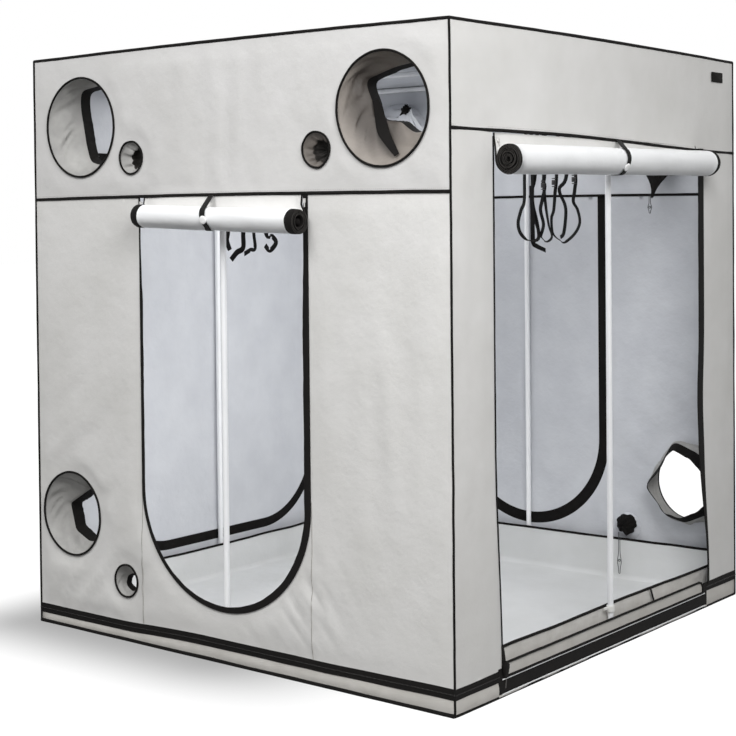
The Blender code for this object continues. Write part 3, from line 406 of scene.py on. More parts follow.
class Patchwork:
    # Grids of points gathered into one mesh, with a UV map in metres of cloth
    def __init__(self):
        self.points = []
        self.faces = []
        self.uvs = []
        self.slots = []

    def grid(self, rows, uvRows, slot=0, loop=False, flip=False):
        first = len(self.points)
        across = len(rows[0])
        for row in rows:
            self.points.extend(row)
        for i in range(len(rows) - 1):
            for j in range(across if loop else across - 1):
                k = (j + 1) % across
                corners = [i * across + j, i * across + k, (i + 1) * across + k, (i + 1) * across + j]
                uv = [uvRows[i][j], uvRows[i][j + 1], uvRows[i + 1][j + 1], uvRows[i + 1][j]]
                if flip:
                    corners.reverse()
                    uv.reverse()
                self.faces.append([first + corner for corner in corners])
                self.uvs.append(uv)
                self.slots.append(slot)

    def fan(self, ring, slot=0, flip=False):
        # Closes a ring with triangles about its middle
        first = len(self.points)
        self.points.extend(ring)
        self.points.append(sum((Vector(point) for point in ring), Vector()) / len(ring))
        for i in range(len(ring)):
            corners = [first + i, first + (i + 1) % len(ring), first + len(ring)]
            if flip:
                corners.reverse()
            self.faces.append(corners)
            self.uvs.append([(0.0, 0.0)] * 3)
            self.slots.append(slot)

    def make(self, name, looks, weld=True):
        mesh = bpy.data.meshes.new(name)
        mesh.from_pydata([tuple(point) for point in self.points], [], self.faces)
        layer = mesh.uv_layers.new(name="cut")
        layer.data.foreach_set("uv", [value for face in self.uvs for uv in face for value in uv])
        for look in looks:
            mesh.materials.append(materials[look])
        mesh.polygons.foreach_set("material_index", self.slots)
        mesh.update()
        if weld:
            weldMesh(mesh)
        mesh.shade_smooth()
        obj = bpy.data.objects.new(name, mesh)
        scene.collection.objects.link(obj)
        return obj


def weldMesh(mesh, reach=0.00002):
    bm = bmesh.new()
    bm.from_mesh(mesh)
    bmesh.ops.remove_doubles(bm, verts=bm.verts, dist=reach)
    bm.to_mesh(mesh)
    bm.free()


def thicken(obj, thick, inner=0):
    # Gives a sheet its thickness; inner is the material slot of the side that faces in. The cut edge is
    # marked sharp, so that it doesn't shade the cloth beside it.
    mesh = obj.data
    used = np.empty(len(mesh.loops), np.int32)
    mesh.loops.foreach_get("edge_index", used)
    mesh.edges.foreach_set("use_edge_sharp", np.bincount(used, minlength=len(mesh.edges)) == 1)
    solid = obj.modifiers.new("thickness", "SOLIDIFY")
    solid.thickness = thick
    solid.offset = -1.0
    solid.material_offset = inner
    solid.use_even_offset = False


def turnsOf(count, closed=False):
    # Angles once round, the last one the same as the first where the line is to close on itself
    return [math.tau * k / count for k in range(count + closed)]


def spaced(start, end, count):
    return [start + (end - start) * i / count for i in range(count + 1)]


def circle(s, z, radius, count=72):
    return [(s + radius * math.cos(a), z + radius * math.sin(a)) for a in turnsOf(count)]


def arc(s, z, radius, start, end, steps):
    return [(s + radius * math.cos(a), z + radius * math.sin(a)) for a in spaced(start, end, steps)]


def doorEdge(half, foot, top, corner, steps=28, rise=0.03):
    # Left edge, round foot and right edge of a door, evenly spaced, from the top left to the top right
    down = max(round((top - foot - corner) / rise), 1)
    straight = [(-half, top + (foot + corner - top) * i / down) for i in range(down)]
    points = straight + arc(corner - half, foot + corner, corner, math.pi, 1.5 * math.pi, steps)
    flat = 2 * (half - corner)
    if flat > rise:
        count = round(flat / rise)
        points += [(corner - half + flat * i / count, foot) for i in range(1, count)]
    right = arc(half - corner, foot + corner, corner, 1.5 * math.pi, math.tau, steps)
    points += right if flat > rise else right[1:]
    return points + [(-s, z) for s, z in reversed(straight)]


def densify(ring, step):
    # Adds points so that no edge of a closed ring is longer than step
    points = []
    for (s0, z0), (s1, z1) in zip(ring, ring[1:] + ring[:1]):
        count = max(math.ceil(math.hypot(s1 - s0, z1 - z0) / step - 0.01), 1)
        points += [(s0 + (s1 - s0) * i / count, z0 + (z1 - z0) * i / count) for i in range(count)]
    return points


def insideRings(points, rings):
    # Even-odd test of many points against an outline and its holes
    inside = np.zeros(len(points), bool)
    for ring in rings:
        corners = np.array(ring)
        for (s0, z0), (s1, z1) in zip(corners, np.roll(corners, -1, 0)):
            if z0 == z1:
                continue
            crossing = (points[:, 1] < z0) != (points[:, 1] < z1)
            inside ^= crossing & (points[:, 0] < s0 + (s1 - s0) * (points[:, 1] - z0) / (z1 - z0))
    return inside


def ringArea(ring):
    return abs(sum(a[0] * b[1] - b[0] * a[1] for a, b in zip(ring, ring[1:] + ring[:1]))) / 2


def nearness(points, border):
    # Distance from each point to the nearest border point
    least = np.full(len(points), np.inf)
    for part in np.array_split(border, max(len(border) // 200, 1)):
        gap = np.linalg.norm(points[:, None, :] - part[None, :, :], axis=2).min(1)
        least = np.minimum(least, gap)
    return least


def clothPanel(name, place, outline, holes, looks, lift, step=cloth["mesh"]):
    # A flat cut of cloth with holes, meshed evenly, then set in place and lifted by folds and fill
    rings = [densify(outline, step)] + [densify(hole, step) for hole in holes]
    border = np.array([point for ring in rings for point in ring])
    edges = []
    first = 0
    for ring in rings:
        edges += [(first + i, first + (i + 1) % len(ring)) for i in range(len(ring))]
        first += len(ring)
    low, high = border.min(0), border.max(0)
    counts = [max(round(span / step), 1) + 1 for span in high - low]
    columns = np.linspace(low[0], high[0], counts[0])
    rows = np.linspace(low[1], high[1], counts[1])
    net = np.stack(np.meshgrid(columns, rows), -1).reshape(-1, 2)
    net = net[insideRings(net, rings) & (nearness(net, border) > 0.55 * step)]
    flat = [Vector(point) for point in np.vstack([border, net])]
    points, _, faces, *_ = geometry.delaunay_2d_cdt(flat, edges, [], 0, 1e-7)
    points = np.array([tuple(point) for point in points])
    faces = np.array(faces)
    faces = faces[insideRings(points[faces].mean(1), rings)]
    near = nearness(points, border)
    patch = Patchwork()
    patch.points = [place(s, z, lift(s, z, gap)) for (s, z), gap in zip(points, near)]
    patch.faces = faces.tolist()
    patch.uvs = [[tuple(points[i]) for i in face] for face in patch.faces]
    patch.slots = [0] * len(patch.faces)
    obj = patch.make(name, looks, weld=False)
    thicken(obj, cloth["thick"], inner=len(looks) - 1)
    area = ringArea(rings[0]) - sum(ringArea(ring) for ring in rings[1:])
    return obj, tuple(float(span) for span in high - low), float(area)


def stations(points):
    # Each point of a line with its number, its direction, the way run so far and the share passed
    run = 0.0
    for i, point in enumerate(points):
        ahead = (points[min(i + 1, len(points) - 1)] - points[max(i - 1, 0)]).normalized()
        if i:
            run += (point - points[i - 1]).length
        yield i, point, ahead, run, i / (len(points) - 1)


def tubeAlong(patch, points, radius, sides=10, slot=0):
    # A round capped tube along points, its UV in metres along and round
    side = None
    rings, uvRows = [], []
    for _, point, ahead, run, _ in stations([Vector(point) for point in points]):
        if side is None:
            side = ahead.orthogonal().normalized()
        side = (side - ahead * side.dot(ahead)).normalized()
        other = ahead.cross(side)
        rings.append([point + radius * (side * math.cos(math.tau * k / sides)
                                        + other * math.sin(math.tau * k / sides)) for k in range(sides)])
        uvRows.append([(run, math.tau * radius * k / sides) for k in range(sides + 1)])
    patch.grid(rings, uvRows, slot, loop=True)
    patch.fan(rings[0], slot, flip=True)
    patch.fan(rings[-1], slot)


def flatRibbon(patch, points, widthWays, width, thick):
    # Webbing along points as a closed flat band; widthWays is one direction or one for each point, and
    # width may be a function of the share of the way along
    shares = (-1, -0.92, -0.5, 0, 0.5, 0.92, 1)
    rings, uvRows = [], []
    for i, point, ahead, run, passed in stations([Vector(point) for point in points]):
        way = Vector(widthWays[i] if isinstance(widthWays, list) else widthWays)
        wide = width(passed) if callable(width) else width
        way = (way - ahead * way.dot(ahead)).normalized() * wide / 2
        up = ahead.cross(way).normalized() * thick / 2
        top = [point + way * share + up * (1 if abs(share) < 1 else 0.3) for share in shares]
        low = [point + way * share - up * (1 if abs(share) < 1 else 0.3) for share in reversed(shares)]
        rings.append(top + low)
        widths = [share * wide / 2 for share in (*shares, *reversed(shares))]
        uvRows.append([(run, w) for w in widths] + [(run, -wide / 2)])
    patch.grid(rings, uvRows, loop=True, flip=True)
    patch.fan(rings[0])
    patch.fan(rings[-1], flip=True)


def smoothLine(points, steps):
    # A smooth line through given points
    points = [Vector(point) for point in points]
    last = len(points) - 1
    line = []
    for i in range(last):
        a, b, c, d = (points[min(max(i + k, 0), last)] for k in (-1, 0, 1, 2))
        for k in range(steps):
            t = k / steps
            line.append(0.5 * (2 * b + (c - a) * t + (2 * a - 5 * b + 4 * c - d) * t * t
                               + (3 * b - a - 3 * c + d) * t ** 3))
    return line + points[-1:]


def roundedBox(patch, middle, sizes, axes, bevel):
    # A block with rounded edges: two rings of corners and their caps; axes are its own directions
    right, up, out = axes
    half = [size / 2 for size in sizes]
    rings = []
    for depth, inset in ((-1, bevel), (-1 + bevel / half[2], 0.0), (1 - bevel / half[2], 0.0), (1, bevel)):
        ring = []
        for cx, cy, start in ((1, 1, 0), (-1, 1, 1), (-1, -1, 2), (1, -1, 3)):
            for k in range(5):
                a = (start + k / 4) * math.pi / 2
                r = bevel * 2 - inset * 0.6
                px = cx * (half[0] - bevel * 2 - inset * 0.4) + r * math.cos(a)
                py = cy * (half[1] - bevel * 2 - inset * 0.4) + r * math.sin(a)
                ring.append(middle + right * px + up * py + out * (depth * half[2]))
        rings.append(ring)
    uv = [[(0.001 * k, 0.001 * i) for k in range(len(rings[0]) + 1)] for i in range(4)]
    patch.grid(rings, uv, loop=True)
    patch.fan(rings[0], flip=True)
    patch.fan(rings[-1])


# Drawcords: each hangs doubled from a hem, down one side, round its foot and up the other

drawcord = {
    "radius": 0.0014,
    "spacing": 0.0065,  # between the two halves
    "bulge": 0.006,  # how much wider they hang at bulgeShare of the way down
    "bulgeShare": 0.72,
    "bulgeLengthShare": 0.14,
    "pointDiameters": 2.5,  # distance between the points of a route
    "knotWide": 0.0039, "knotHigh": 0.0042, "knotDeep": 0.0028,
    "knotShare": 0.32,  # height of the knot as a share of the drop
    "knotSwell": 1.15,  # cord thickness in the knot
}


def cordRoute(node):
    # The doubled cord between the top and the foot of its solid
    low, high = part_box(node)
    radius = drawcord["radius"]
    half = drawcord["spacing"] / 2
    x, y, top = (low[0] + high[0]) / 2, (low[1] + high[1]) / 2, high[2]
    drop = top - low[2] - radius
    steps = round(drop / (drawcord["pointDiameters"] * 2 * radius))
    down = []
    for i in range(steps + 1):
        share = i / steps
        near = (share - drawcord["bulgeShare"]) / drawcord["bulgeLengthShare"]
        spread = half + drawcord["bulge"] * math.exp(-near ** 2)
        down.append((spread, top - (drop - half) * share))
    foot = [(half * math.cos(math.pi * k / 4), top - drop + half - half * math.sin(math.pi * k / 4))
            for k in (1, 2, 3)]
    up = [(-a, b) for a, b in reversed(down)]
    return [Vector((x + a, y, b)) for a, b in down + foot + up]


def makeDrawcords():
    for node, label in (("drawcord_lower", "lowerPortCord"), ("drawcord_upper", "upperPortCord")):
        route = cordRoute(node)
        patch = Patchwork()
        tubeAlong(patch, route, drawcord["radius"])
        piece = patch.make(label, ["braidedCord"])
        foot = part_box(node)[0][2]
        height = foot + drawcord["knotShare"] * (route[0].z - foot)
        knotAt = Vector((route[len(route) // 2].x, route[0].y, height))
        wide, deep, high = (drawcord[key] for key in ("knotWide", "knotDeep", "knotHigh"))
        patch = Patchwork()
        turns = [knotAt + Vector((wide * math.cos(a), deep * math.sin(a * 1.5), high * math.sin(a)))
                 for a in turnsOf(24, closed=True)]
        tubeAlong(patch, turns, drawcord["radius"] * drawcord["knotSwell"], sides=8)
        knot = settle(patch.make(label + "Knot", ["braidedCord"]), "tent")
        settle(piece, "tent", node)


makeDrawcords()
print("drawcords made")


# Geometry Nodes: one tree lays piping along lines, the other sets small pieces along them

def newTree(name, sockets):
    tree = bpy.data.node_groups.new(name, "GeometryNodeTree")
    tree.interface.new_socket("Geometry", in_out="INPUT", socket_type="NodeSocketGeometry")
    for label, kind, value in sockets:
        socket = tree.interface.new_socket(label, in_out="INPUT", socket_type=kind)
        if value is not None:
            socket.default_value = value
    tree.interface.new_socket("Geometry", in_out="OUTPUT", socket_type="NodeSocketGeometry")
    return tree, addNode(tree, "NodeGroupInput"), addNode(tree, "NodeGroupOutput")


def endTree(tree, source, given, result):
    # Every tree ends in real geometry with its own material
    real = addNode(tree, "GeometryNodeRealizeInstances", links={"Geometry": source})
    finish = addNode(tree, "GeometryNodeSetMaterial",
                     links={"Geometry": real.outputs["Geometry"], "Material": given.outputs["Material"]})
    tree.links.new(finish.outputs["Geometry"], result.inputs["Geometry"])


def pipingTree():
    tree, given, result = newTree("piping", [
        ("Radius", "NodeSocketFloat", 0.005), ("Step", "NodeSocketFloat", 0.02),
        ("Wander", "NodeSocketFloat", 0.001), ("Grain", "NodeSocketFloat", 8.0),
        ("Material", "NodeSocketMaterial", None),
    ])
    even = addNode(tree, "GeometryNodeResampleCurve", {"mode": "LENGTH"},
                   {"Curve": given.outputs["Geometry"], "Length": given.outputs["Step"]})
    ripple = addNode(tree, "ShaderNodeTexNoise", {"Detail": 2.0}, {"Scale": given.outputs["Grain"]})
    centred = addNode(tree, "ShaderNodeVectorMath", {"operation": "SUBTRACT", 1: (0.5, 0.5, 0.5)},
                      {0: ripple.outputs["Color"]})
    sized = addNode(tree, "ShaderNodeVectorMath", {"operation": "SCALE"},
                    {0: centred.outputs["Vector"], "Scale": given.outputs["Wander"]})
    moved = addNode(tree, "GeometryNodeSetPosition",
                    links={"Geometry": even.outputs["Curve"], "Offset": sized.outputs["Vector"]})
    ring = addNode(tree, "GeometryNodeCurvePrimitiveCircle", {"Resolution": 8},
                   {"Radius": given.outputs["Radius"]})
    body = addNode(tree, "GeometryNodeCurveToMesh", {"Fill Caps": True},
                   {"Curve": moved.outputs["Geometry"], "Profile Curve": ring.outputs["Curve"]})
    soft = addNode(tree, "GeometryNodeSetShadeSmooth", links={"Geometry": body.outputs["Mesh"]})
    endTree(tree, soft.outputs["Geometry"], given, result)
    return tree


def beadTree():
    tree, given, result = newTree("beads", [
        ("Pitch", "NodeSocketFloat", 0.005), ("Bead", "NodeSocketVector", (0.002, 0.001, 0.001)),
        ("Outward", "NodeSocketVector", (0, 0, 1)), ("Unevenness", "NodeSocketFloat", 0.15),
        ("Seed", "NodeSocketInt", 1), ("Material", "NodeSocketMaterial", None),
    ])
    spots = addNode(tree, "GeometryNodeCurveToPoints", {"mode": "LENGTH"},
                    {"Curve": given.outputs["Geometry"], "Length": given.outputs["Pitch"]})
    turn = addNode(tree, "FunctionNodeAxesToRotation", {"primary_axis": "Z", "secondary_axis": "X"},
                   {"Primary Axis": given.outputs["Outward"], "Secondary Axis": spots.outputs["Tangent"]})
    smallest = addNode(tree, "ShaderNodeMath", {"operation": "SUBTRACT", 0: 1.0},
                       {1: given.outputs["Unevenness"]})
    chance = addNode(tree, "FunctionNodeRandomValue", {"data_type": "FLOAT", 3: 1.0},
                     {2: smallest.outputs["Value"], "Seed": given.outputs["Seed"]})
    sized = addNode(tree, "ShaderNodeVectorMath", {"operation": "SCALE"},
                    {0: given.outputs["Bead"], "Scale": chance.outputs[1]})
    bead = addNode(tree, "GeometryNodeMeshIcoSphere", {"Radius": 0.5, "Subdivisions": 1})
    soft = addNode(tree, "GeometryNodeSetShadeSmooth", links={"Geometry": bead.outputs["Mesh"]})
    placed = addNode(tree, "GeometryNodeInstanceOnPoints", links={
        "Points": spots.outputs["Points"], "Instance": soft.outputs["Geometry"],
        "Rotation": turn.outputs["Rotation"], "Scale": sized.outputs["Vector"]})
    endTree(tree, placed.outputs["Instances"], given, result)
    return tree


trees = {"piping": pipingTree(), "beads": beadTree()}


def grown(name, treeName, lines, values):
    # Runs a tree over lines, each (points, closed), and returns plain mesh
    curve = bpy.data.curves.new(name + "Line", "CURVE")
    curve.dimensions = "3D"
    for points, closed in lines:
        spline = curve.splines.new("POLY")
        spline.points.add(len(points) - 1)
        for spot, point in zip(spline.points, points):
            spot.co = (*point, 1.0)
        spline.use_cyclic_u = closed
    guide = bpy.data.objects.new(name + "Line", curve)
    scene.collection.objects.link(guide)
    modifier = guide.modifiers.new(treeName, "NODES")
    modifier.node_group = trees[treeName]
    for item in trees[treeName].interface.items_tree:
        if item.in_out == "INPUT" and item.name in values:
            modifier[item.identifier] = values[item.name]
    bpy.context.view_layer.update()
    ready = guide.evaluated_get(bpy.context.evaluated_depsgraph_get())
    mesh = bpy.data.meshes.new_from_object(ready)
    guide.modifiers.remove(modifier)
    bpy.data.objects.remove(guide, do_unlink=True)
    mesh.name = name
    obj = bpy.data.objects.new(name, mesh)
    scene.collection.objects.link(obj)
    return obj


def joinPieces(name, pieces):
    # Joins plain mesh pieces of one body into one
    first = pieces[0]
    with bpy.context.temp_override(active_object=first, object=first, selected_objects=pieces,
                                   selected_editable_objects=pieces):
        bpy.ops.object.join()
    first.name = name
    first.data.name = name
    return first


def piping(name, lines, radius, look="nylonTape", wanderBy=0.0012, step=0.02, grain=8.0):
    return grown(name, "piping", lines, {"Radius": radius, "Step": step, "Wander": wanderBy, "Grain": grain,
                                         "Material": materials[look]})


def beads(name, linesByWall, pitch, bead, look, seed=3):
    parts = []
    for wall, lines in linesByWall.items():
        outward = outwardOf(wall) if wall in wallTurn else Vector((0, 0, 1))
        parts.append(grown(f"{name}_{wall}", "beads", lines, {
            "Pitch": pitch, "Bead": bead, "Outward": tuple(outward), "Seed": seed,
            "Material": materials[look]}))
    return joinPieces(name, parts) if len(parts) > 1 else parts[0]


# Skin: the stretched panels

ports = {
    "upperS": 0.73, "upperZ": 1.932, "upperRadius": 0.188,
    "lowerS": -0.806, "lowerZ": 0.447, "lowerRadius": 0.16,
    "smallRadius": 0.06, "smallUpperS": 0.45, "smallUpperZ": 1.808,
    "smallLowerS": -0.504, "smallLowerZ": 0.227, "smallDepth": 0.055,
}
uDoor = {"half": 0.4095, "foot": 0.186, "tape": 0.058}  # its foot is a half circle
wideDoor = {"half": 0.670, "foot": 0.16, "corner": 0.370, "tape": 0.050}  # the left wall's
gate = {
    "near": -0.757, "far": 0.737, "trim": 0.028,
    "bandLow": 0.013, "bandHigh": 0.061, "tapeFoot": 0.0613, "rise": 0.009,
    "sillHigh": 0.112, "sillCorner": 0.028,
}
fill = {
    "fullness": 0.0022,  # how far a panel bellies out between its seams
    "roof": 1.6,  # and the roof this many times as far
    "flat": 0.012,  # the cloth lies flat this far from a seam
    "hem": 0.055,  # and rises to its fill over this width
    "pucker": 0.0026,  # height of the folds that run out from a port
    "puckerReach": 0.11,
}
# Slack folds of each sheet: lean in degrees, length and width of a fold, its height, the middle of the
# group as (s, z), and how far the group spreads
streaks = {
    "header": [(84, 0.9, 0.10, 0.0035, (-0.1, 1.95), 0.5), (80, 0.6, 0.06, 0.0030, (-0.38, 1.72), 0.22)],
    "wall": [
        (46, 0.6, 0.085, 0.0130, (-0.72, 0.27), 0.36),
        (-55, 0.35, 0.05, 0.0075, (0.34, 0.24), 0.20),
        (35, 0.5, 0.09, 0.0050, (-0.85, 0.75), 0.40),
        (88, 0.9, 0.12, 0.0030, (0.72, 0.9), 0.6),
    ],
    "side": [(85, 0.8, 0.09, 0.0024, (-0.88, 0.9), 0.9), (84, 0.8, 0.09, 0.0024, (0.88, 0.9), 0.9)],
    "roof": [(20, 0.6, 0.1, 0.002, (0, 0), 0.9)],
    "door": [(80, 0.7, 0.12, 0.0022, (0, 0.9), 0.8), (30, 0.5, 0.1, 0.0018, (0, 0.5), 0.5)],
}
base = {
    "bandProud": 0.0016, "bandHalf": 0.0180, "lap": 0.004,
    "foot": 0.0022,  # height of the pan's floor
    "pan": 0.0035,  # how far the pan's sides puff out
    "pipe": 0.0042,
    "zipProud": 0.0036,
}


# The band doesn't run level: its height on each wall, then (rise, from s, over s) where it climbs or sags,
# down to the front left corner and up along the right wall
bandRun = {
    "front": (0.0685, ((0.0050, 0.4, 0.6), (-0.0125, -0.1, -0.5))),
    "right": (0.0725, ((0.0115, -0.9, 1.8),)),
    "back": (0.074, ((0.010, -0.5, -0.5),)),
    "left": (0.074, ((-0.018, 0.2, 0.8),)),
}


def bandMiddle(wall, s):
    height, slopes = bandRun[wall]
    for rise, start, over in slopes:
        height += rise * ease((s - start) / over)
    return height


def doorCut(wall):
    # Half width, foot, top and corner radius of a wall's door
    own = wideDoor if wall == "left" else uDoor
    return own["half"], own["foot"], seamAt(wall, own["half"]), own.get("corner", own["half"])


def panelLift(seed, folds, spots=()):
    # Height of the cloth over its flat cut: a soft belly, drawn folds at ports, and slack that runs one way
    def lift(s, z, gap):
        out = 1 + 0.8 * wander(s * 1.6, z * 1.1, seed) + 0.35 * wander(s * 4.5, z * 3.2, seed + 7)
        out *= fill["fullness"]
        for lean, along, across, size, middle, reach in folds:
            a = math.radians(lean)
            u = s * math.cos(a) + z * math.sin(a)
            v = z * math.cos(a) - s * math.sin(a)
            away = math.hypot(s - middle[0], z - middle[1]) / reach
            fade = math.exp(-away * away)
            ridge = 1 - abs(wander(u / along, v / across, seed + lean)) * 2.4
            out += size * fade * max(ridge, -0.4)
        for middleS, middleZ, radius in spots:
            away = math.hypot(s - middleS, z - middleZ) - radius
            if away < 4 * fill["puckerReach"]:
                angle = math.atan2(z - middleZ, s - middleS)
                fold = wander(math.cos(angle) * 3.4, math.sin(angle) * 3.4, seed + middleS)
                out += fill["pucker"] * fold * math.exp(-(away / fill["puckerReach"]) ** 2)
        return max(out, 0.0) * ease((gap - fill["flat"]) / fill["hem"])
    return lift


def wallPlace(wall):
    return lambda s, z, out: onWall(wall, s, z, out)


def upperHoles():
    holes = []
    for sign in (-1, 1):
        holes.append((sign * ports["upperS"], ports["upperZ"], ports["upperRadius"]))
        holes.append((sign * ports["smallUpperS"], ports["smallUpperZ"], ports["smallRadius"]))
    return holes


lowerHoles = [(ports["lowerS"], ports["lowerZ"], ports["lowerRadius"]),
              (ports["smallLowerS"], ports["smallLowerZ"], ports["smallRadius"])]


def makeSheet(name, wall, outline, holes, lift, node, looks=("coatedCanvas", "reflectiveLining")):
    rings = [circle(*hole) if isinstance(hole, tuple) else hole for hole in holes]
    obj, flat, area = clothPanel(name, wallPlace(wall), outline, rings, list(looks), lift)
    settle(obj, "tent", node)


def footLine(wall, start, end, step=0.05):
    # A wall's lower edge, hidden behind the band
    places = spaced(start, end, max(round(abs(end - start) / step), 1))
    return [(s, bandMiddle(wall, s) + base["lap"]) for s in places]


def makePanels():
    for index, wall in enumerate(("front", "back")):
        half = wallHalf[wall]
        holes = upperHoles()
        outline = seamLine(wall, -half, half) + [(half, roofTop), (-half, roofTop)]
        # The headers take the darker canvas, painted shade
        makeSheet(wall + "Header", wall, outline, holes, panelLift(11 + index, streaks["header"], holes),
                  wall + "_header", ("shadedHeaderCanvas", "reflectiveLining"))
        side = uDoor["half"]
        outline = footLine(wall, -half, half) + seamLine(wall, half, side)
        outline += doorEdge(*doorCut(wall))[-2:0:-1]
        outline += seamLine(wall, -side, -half)
        wallLift[wall] = panelLift(21 + index, streaks["wall"], lowerHoles)
        makeSheet(wall + "Wall", wall, outline, lowerHoles, wallLift[wall], wall + "_wall")

    half = wallHalf["right"]
    levels = spaced(bandTop, sideSeam - 0.02, 30)
    outline = footLine("right", -half, nearEdge(bandTop)) + [(nearEdge(z), z) for z in levels]
    outline += seamLine("right", nearEdge(sideSeam), farEdge(sideSeam))
    outline += [(farEdge(z), z) for z in reversed(levels)] + footLine("right", farEdge(bandTop), half)
    outline += [(half, roofTop), (-half, roofTop)]
    makeSheet("rightWall", "right", outline, [], panelLift(31, streaks["side"]), "right_wall")

    half = wallHalf["left"]
    outline = footLine("left", -half, half) + [(half, roofTop), (-half, roofTop)]
    makeSheet("leftWall", "left", outline, [doorEdge(*doorCut("left"))],
              panelLift(41, streaks["side"]), "left_wall")

    rim = [(-halfX, -halfY), (halfX, -halfY), (halfX, halfY), (-halfX, halfY)]
    roof, flat, _ = clothPanel("roof", lambda s, z, out: Vector((s, z, roofTop + fill["roof"] * out)), rim,
                               [], ["coatedCanvas", "reflectiveLining"], panelLift(51, streaks["roof"]),
                               step=cloth["roofMesh"])
    settle(roof, "tent", "roof_panel")


wallLift = {}
makePanels()
print("panels stretched")


# Closed doors, whose edges lie under the zip tapes

tapeEdge = {
    "lap": 0.0012, "proud": 0.0012, "uneven": 0.0024, "ripple": 0.0009,
    "under": 0.008,  # how far a door's edge lies under its tape
    "zipProud": 0.0022,
}


def makeClosedDoors():
    for index, wall in enumerate(("back", "left")):
        half, foot, top, corner = doorCut(wall)
        edgeIn = (wideDoor if wall == "left" else uDoor)["tape"] - tapeEdge["under"]
        side = half - edgeIn
        edge = doorEdge(side, foot + edgeIn, top, corner - edgeIn) + seamLine(wall, side, -side)[1:-1]
        obj, flat, area = clothPanel(wall + "Door", wallPlace(wall), edge, [],
                                     ["coatedCanvas", "reflectiveLining"],
                                     panelLift(61 + index, streaks["door"]))
        settle(obj, wall + "_door", wall + "_door")


makeClosedDoors()


# Zip tapes: flat black bands along the door openings, their free edge a little uneven

def tapeBand(patch, wall, outer, inner, seed=0.0, uneven=tapeEdge["uneven"], columns=4):
    # A band between two lines of as many points; the inner one wanders
    out = tapeEdge["proud"]
    rows, uvRows = [], []
    run = 0.0
    for i, ((s0, z0), (s1, z1)) in enumerate(zip(outer, inner)):
        if i:
            run += math.hypot(s0 - outer[i - 1][0], z0 - outer[i - 1][1])
        width = max(math.hypot(s1 - s0, z1 - z0), 1e-6)
        grow = uneven * (wander(run * 9, seed) + 0.5 * wander(run * 27, seed + 5)) / width
        row, uvs = [], []
        for k in range(columns + 1):
            share = k / columns
            reach = share * (1 + grow)
            ripple = tapeEdge["ripple"] * share * wander(run * 14, share * 2, seed)
            row.append(onWall(wall, s0 + (s1 - s0) * reach, z0 + (z1 - z0) * reach, out + ripple))
            uvs.append((run, share * width))
        rows.append(row)
        uvRows.append(uvs)
    patch.grid(rows, uvRows)


def tapePiece(name, patch, node, thick=cloth["tape"]):
    obj = patch.make(name, ["nylonTape"])
    thicken(obj, thick)
    settle(obj, "tent", node)


def inset(points, width):
    # Moves each point of a door's edge into the opening by width(s, z)
    moved = []
    for i, (s, z) in enumerate(points):
        a, b = points[max(i - 1, 0)], points[min(i + 1, len(points) - 1)]
        length = math.hypot(b[0] - a[0], b[1] - a[1])
        reach = width(s, z)
        moved.append((s - (b[1] - a[1]) / length * reach, z + (b[0] - a[0]) / length * reach))
    return moved


frontTape = {
    "narrow": 0.0125, "opens": 0.0130, "from": -0.42, "over": 0.8,
    "tapers": 0.007, "taperFrom": 1.20, "taperOver": 0.3,
}


def frontTapeWidth(s, z):
    # The left run of the front zip is turned under, the right one lies open, and both narrow at the top
    own = frontTape
    return (own["narrow"] + own["opens"] * ease((s - own["from"]) / own["over"])
            - own["tapers"] * ease((z - own["taperFrom"]) / own["taperOver"]))


# The wide door's tapes: the near one is narrow but for its foot, the far one widens upwards
sideTape = {
    "below": 0.006, "near": 0.0040, "nearFoot": 0.0150, "footTop": 0.142, "footOver": 0.02,
    "nearLap": 0.0012, "nearUneven": 0.001,
    "far": 0.010, "farGrows": 0.032, "growsFrom": 0.2, "growsOver": 0.5,
    "farLap": 0.0015, "farUneven": 0.002,
}


def makeZipTapes():
    zipLines = {}
    widths = {"front": frontTapeWidth, "back": lambda s, z: uDoor["tape"],
              "left": lambda s, z: wideDoor["tape"]}
    for index, (wall, width) in enumerate(widths.items()):
        edge = doorEdge(*doorCut(wall), steps=36)
        outer = inset(edge, lambda s, z: -tapeEdge["lap"])
        patch = Patchwork()
        tapeBand(patch, wall, outer, inset(edge, width), seed=index * 3.7)
        tapePiece(wall + "ZipTape", patch, wall + "_door_zip")
        middle = inset(edge, lambda s, z: 0.5 * width(s, z))
        zipLines[wall] = [([onWall(wall, s, z, tapeEdge["zipProud"]) for s, z in middle], False)]

    patch = Patchwork()
    rise = [bandTop - sideTape["below"] + (sideSeam - bandTop) * i / 60 for i in range(61)]
    nearInner = [(nearEdge(z) + sideTape["near"]
                  + sideTape["nearFoot"] * (1 - ease((z - sideTape["footTop"]) / sideTape["footOver"])), z)
                 for z in rise]
    nearOuter = [(nearEdge(z) - sideTape["nearLap"], z) for z in rise]
    tapeBand(patch, "right", nearOuter[::-1], nearInner[::-1], 1.3, sideTape["nearUneven"])
    farInner = [(farEdge(z) - sideTape["far"]
                 - sideTape["farGrows"] * ease((z - sideTape["growsFrom"]) / sideTape["growsOver"]), z)
                for z in rise]
    farOuter = [(farEdge(z) + sideTape["farLap"], z) for z in rise]
    tapeBand(patch, "right", farOuter, farInner, 2.3, sideTape["farUneven"])
    along = spaced(gate["near"] + gate["trim"], gate["far"] - gate["trim"], 80)
    tapeBand(patch, "right", [(s, gate["tapeFoot"]) for s in along],
             [(s, gate["tapeFoot"] + gate["rise"]) for s in along], 5.1, sideTape["nearUneven"], 2)
    tapePiece("rightZipTape", patch, "right_door_zip")
    middle = [onWall("right", (s + farEdge(z)) / 2, z, tapeEdge["zipProud"]) for s, z in farInner]
    zipLines["right"] = [(middle, False)]
    return zipLines


zipLines = makeZipTapes()
print("zip tapes laid")


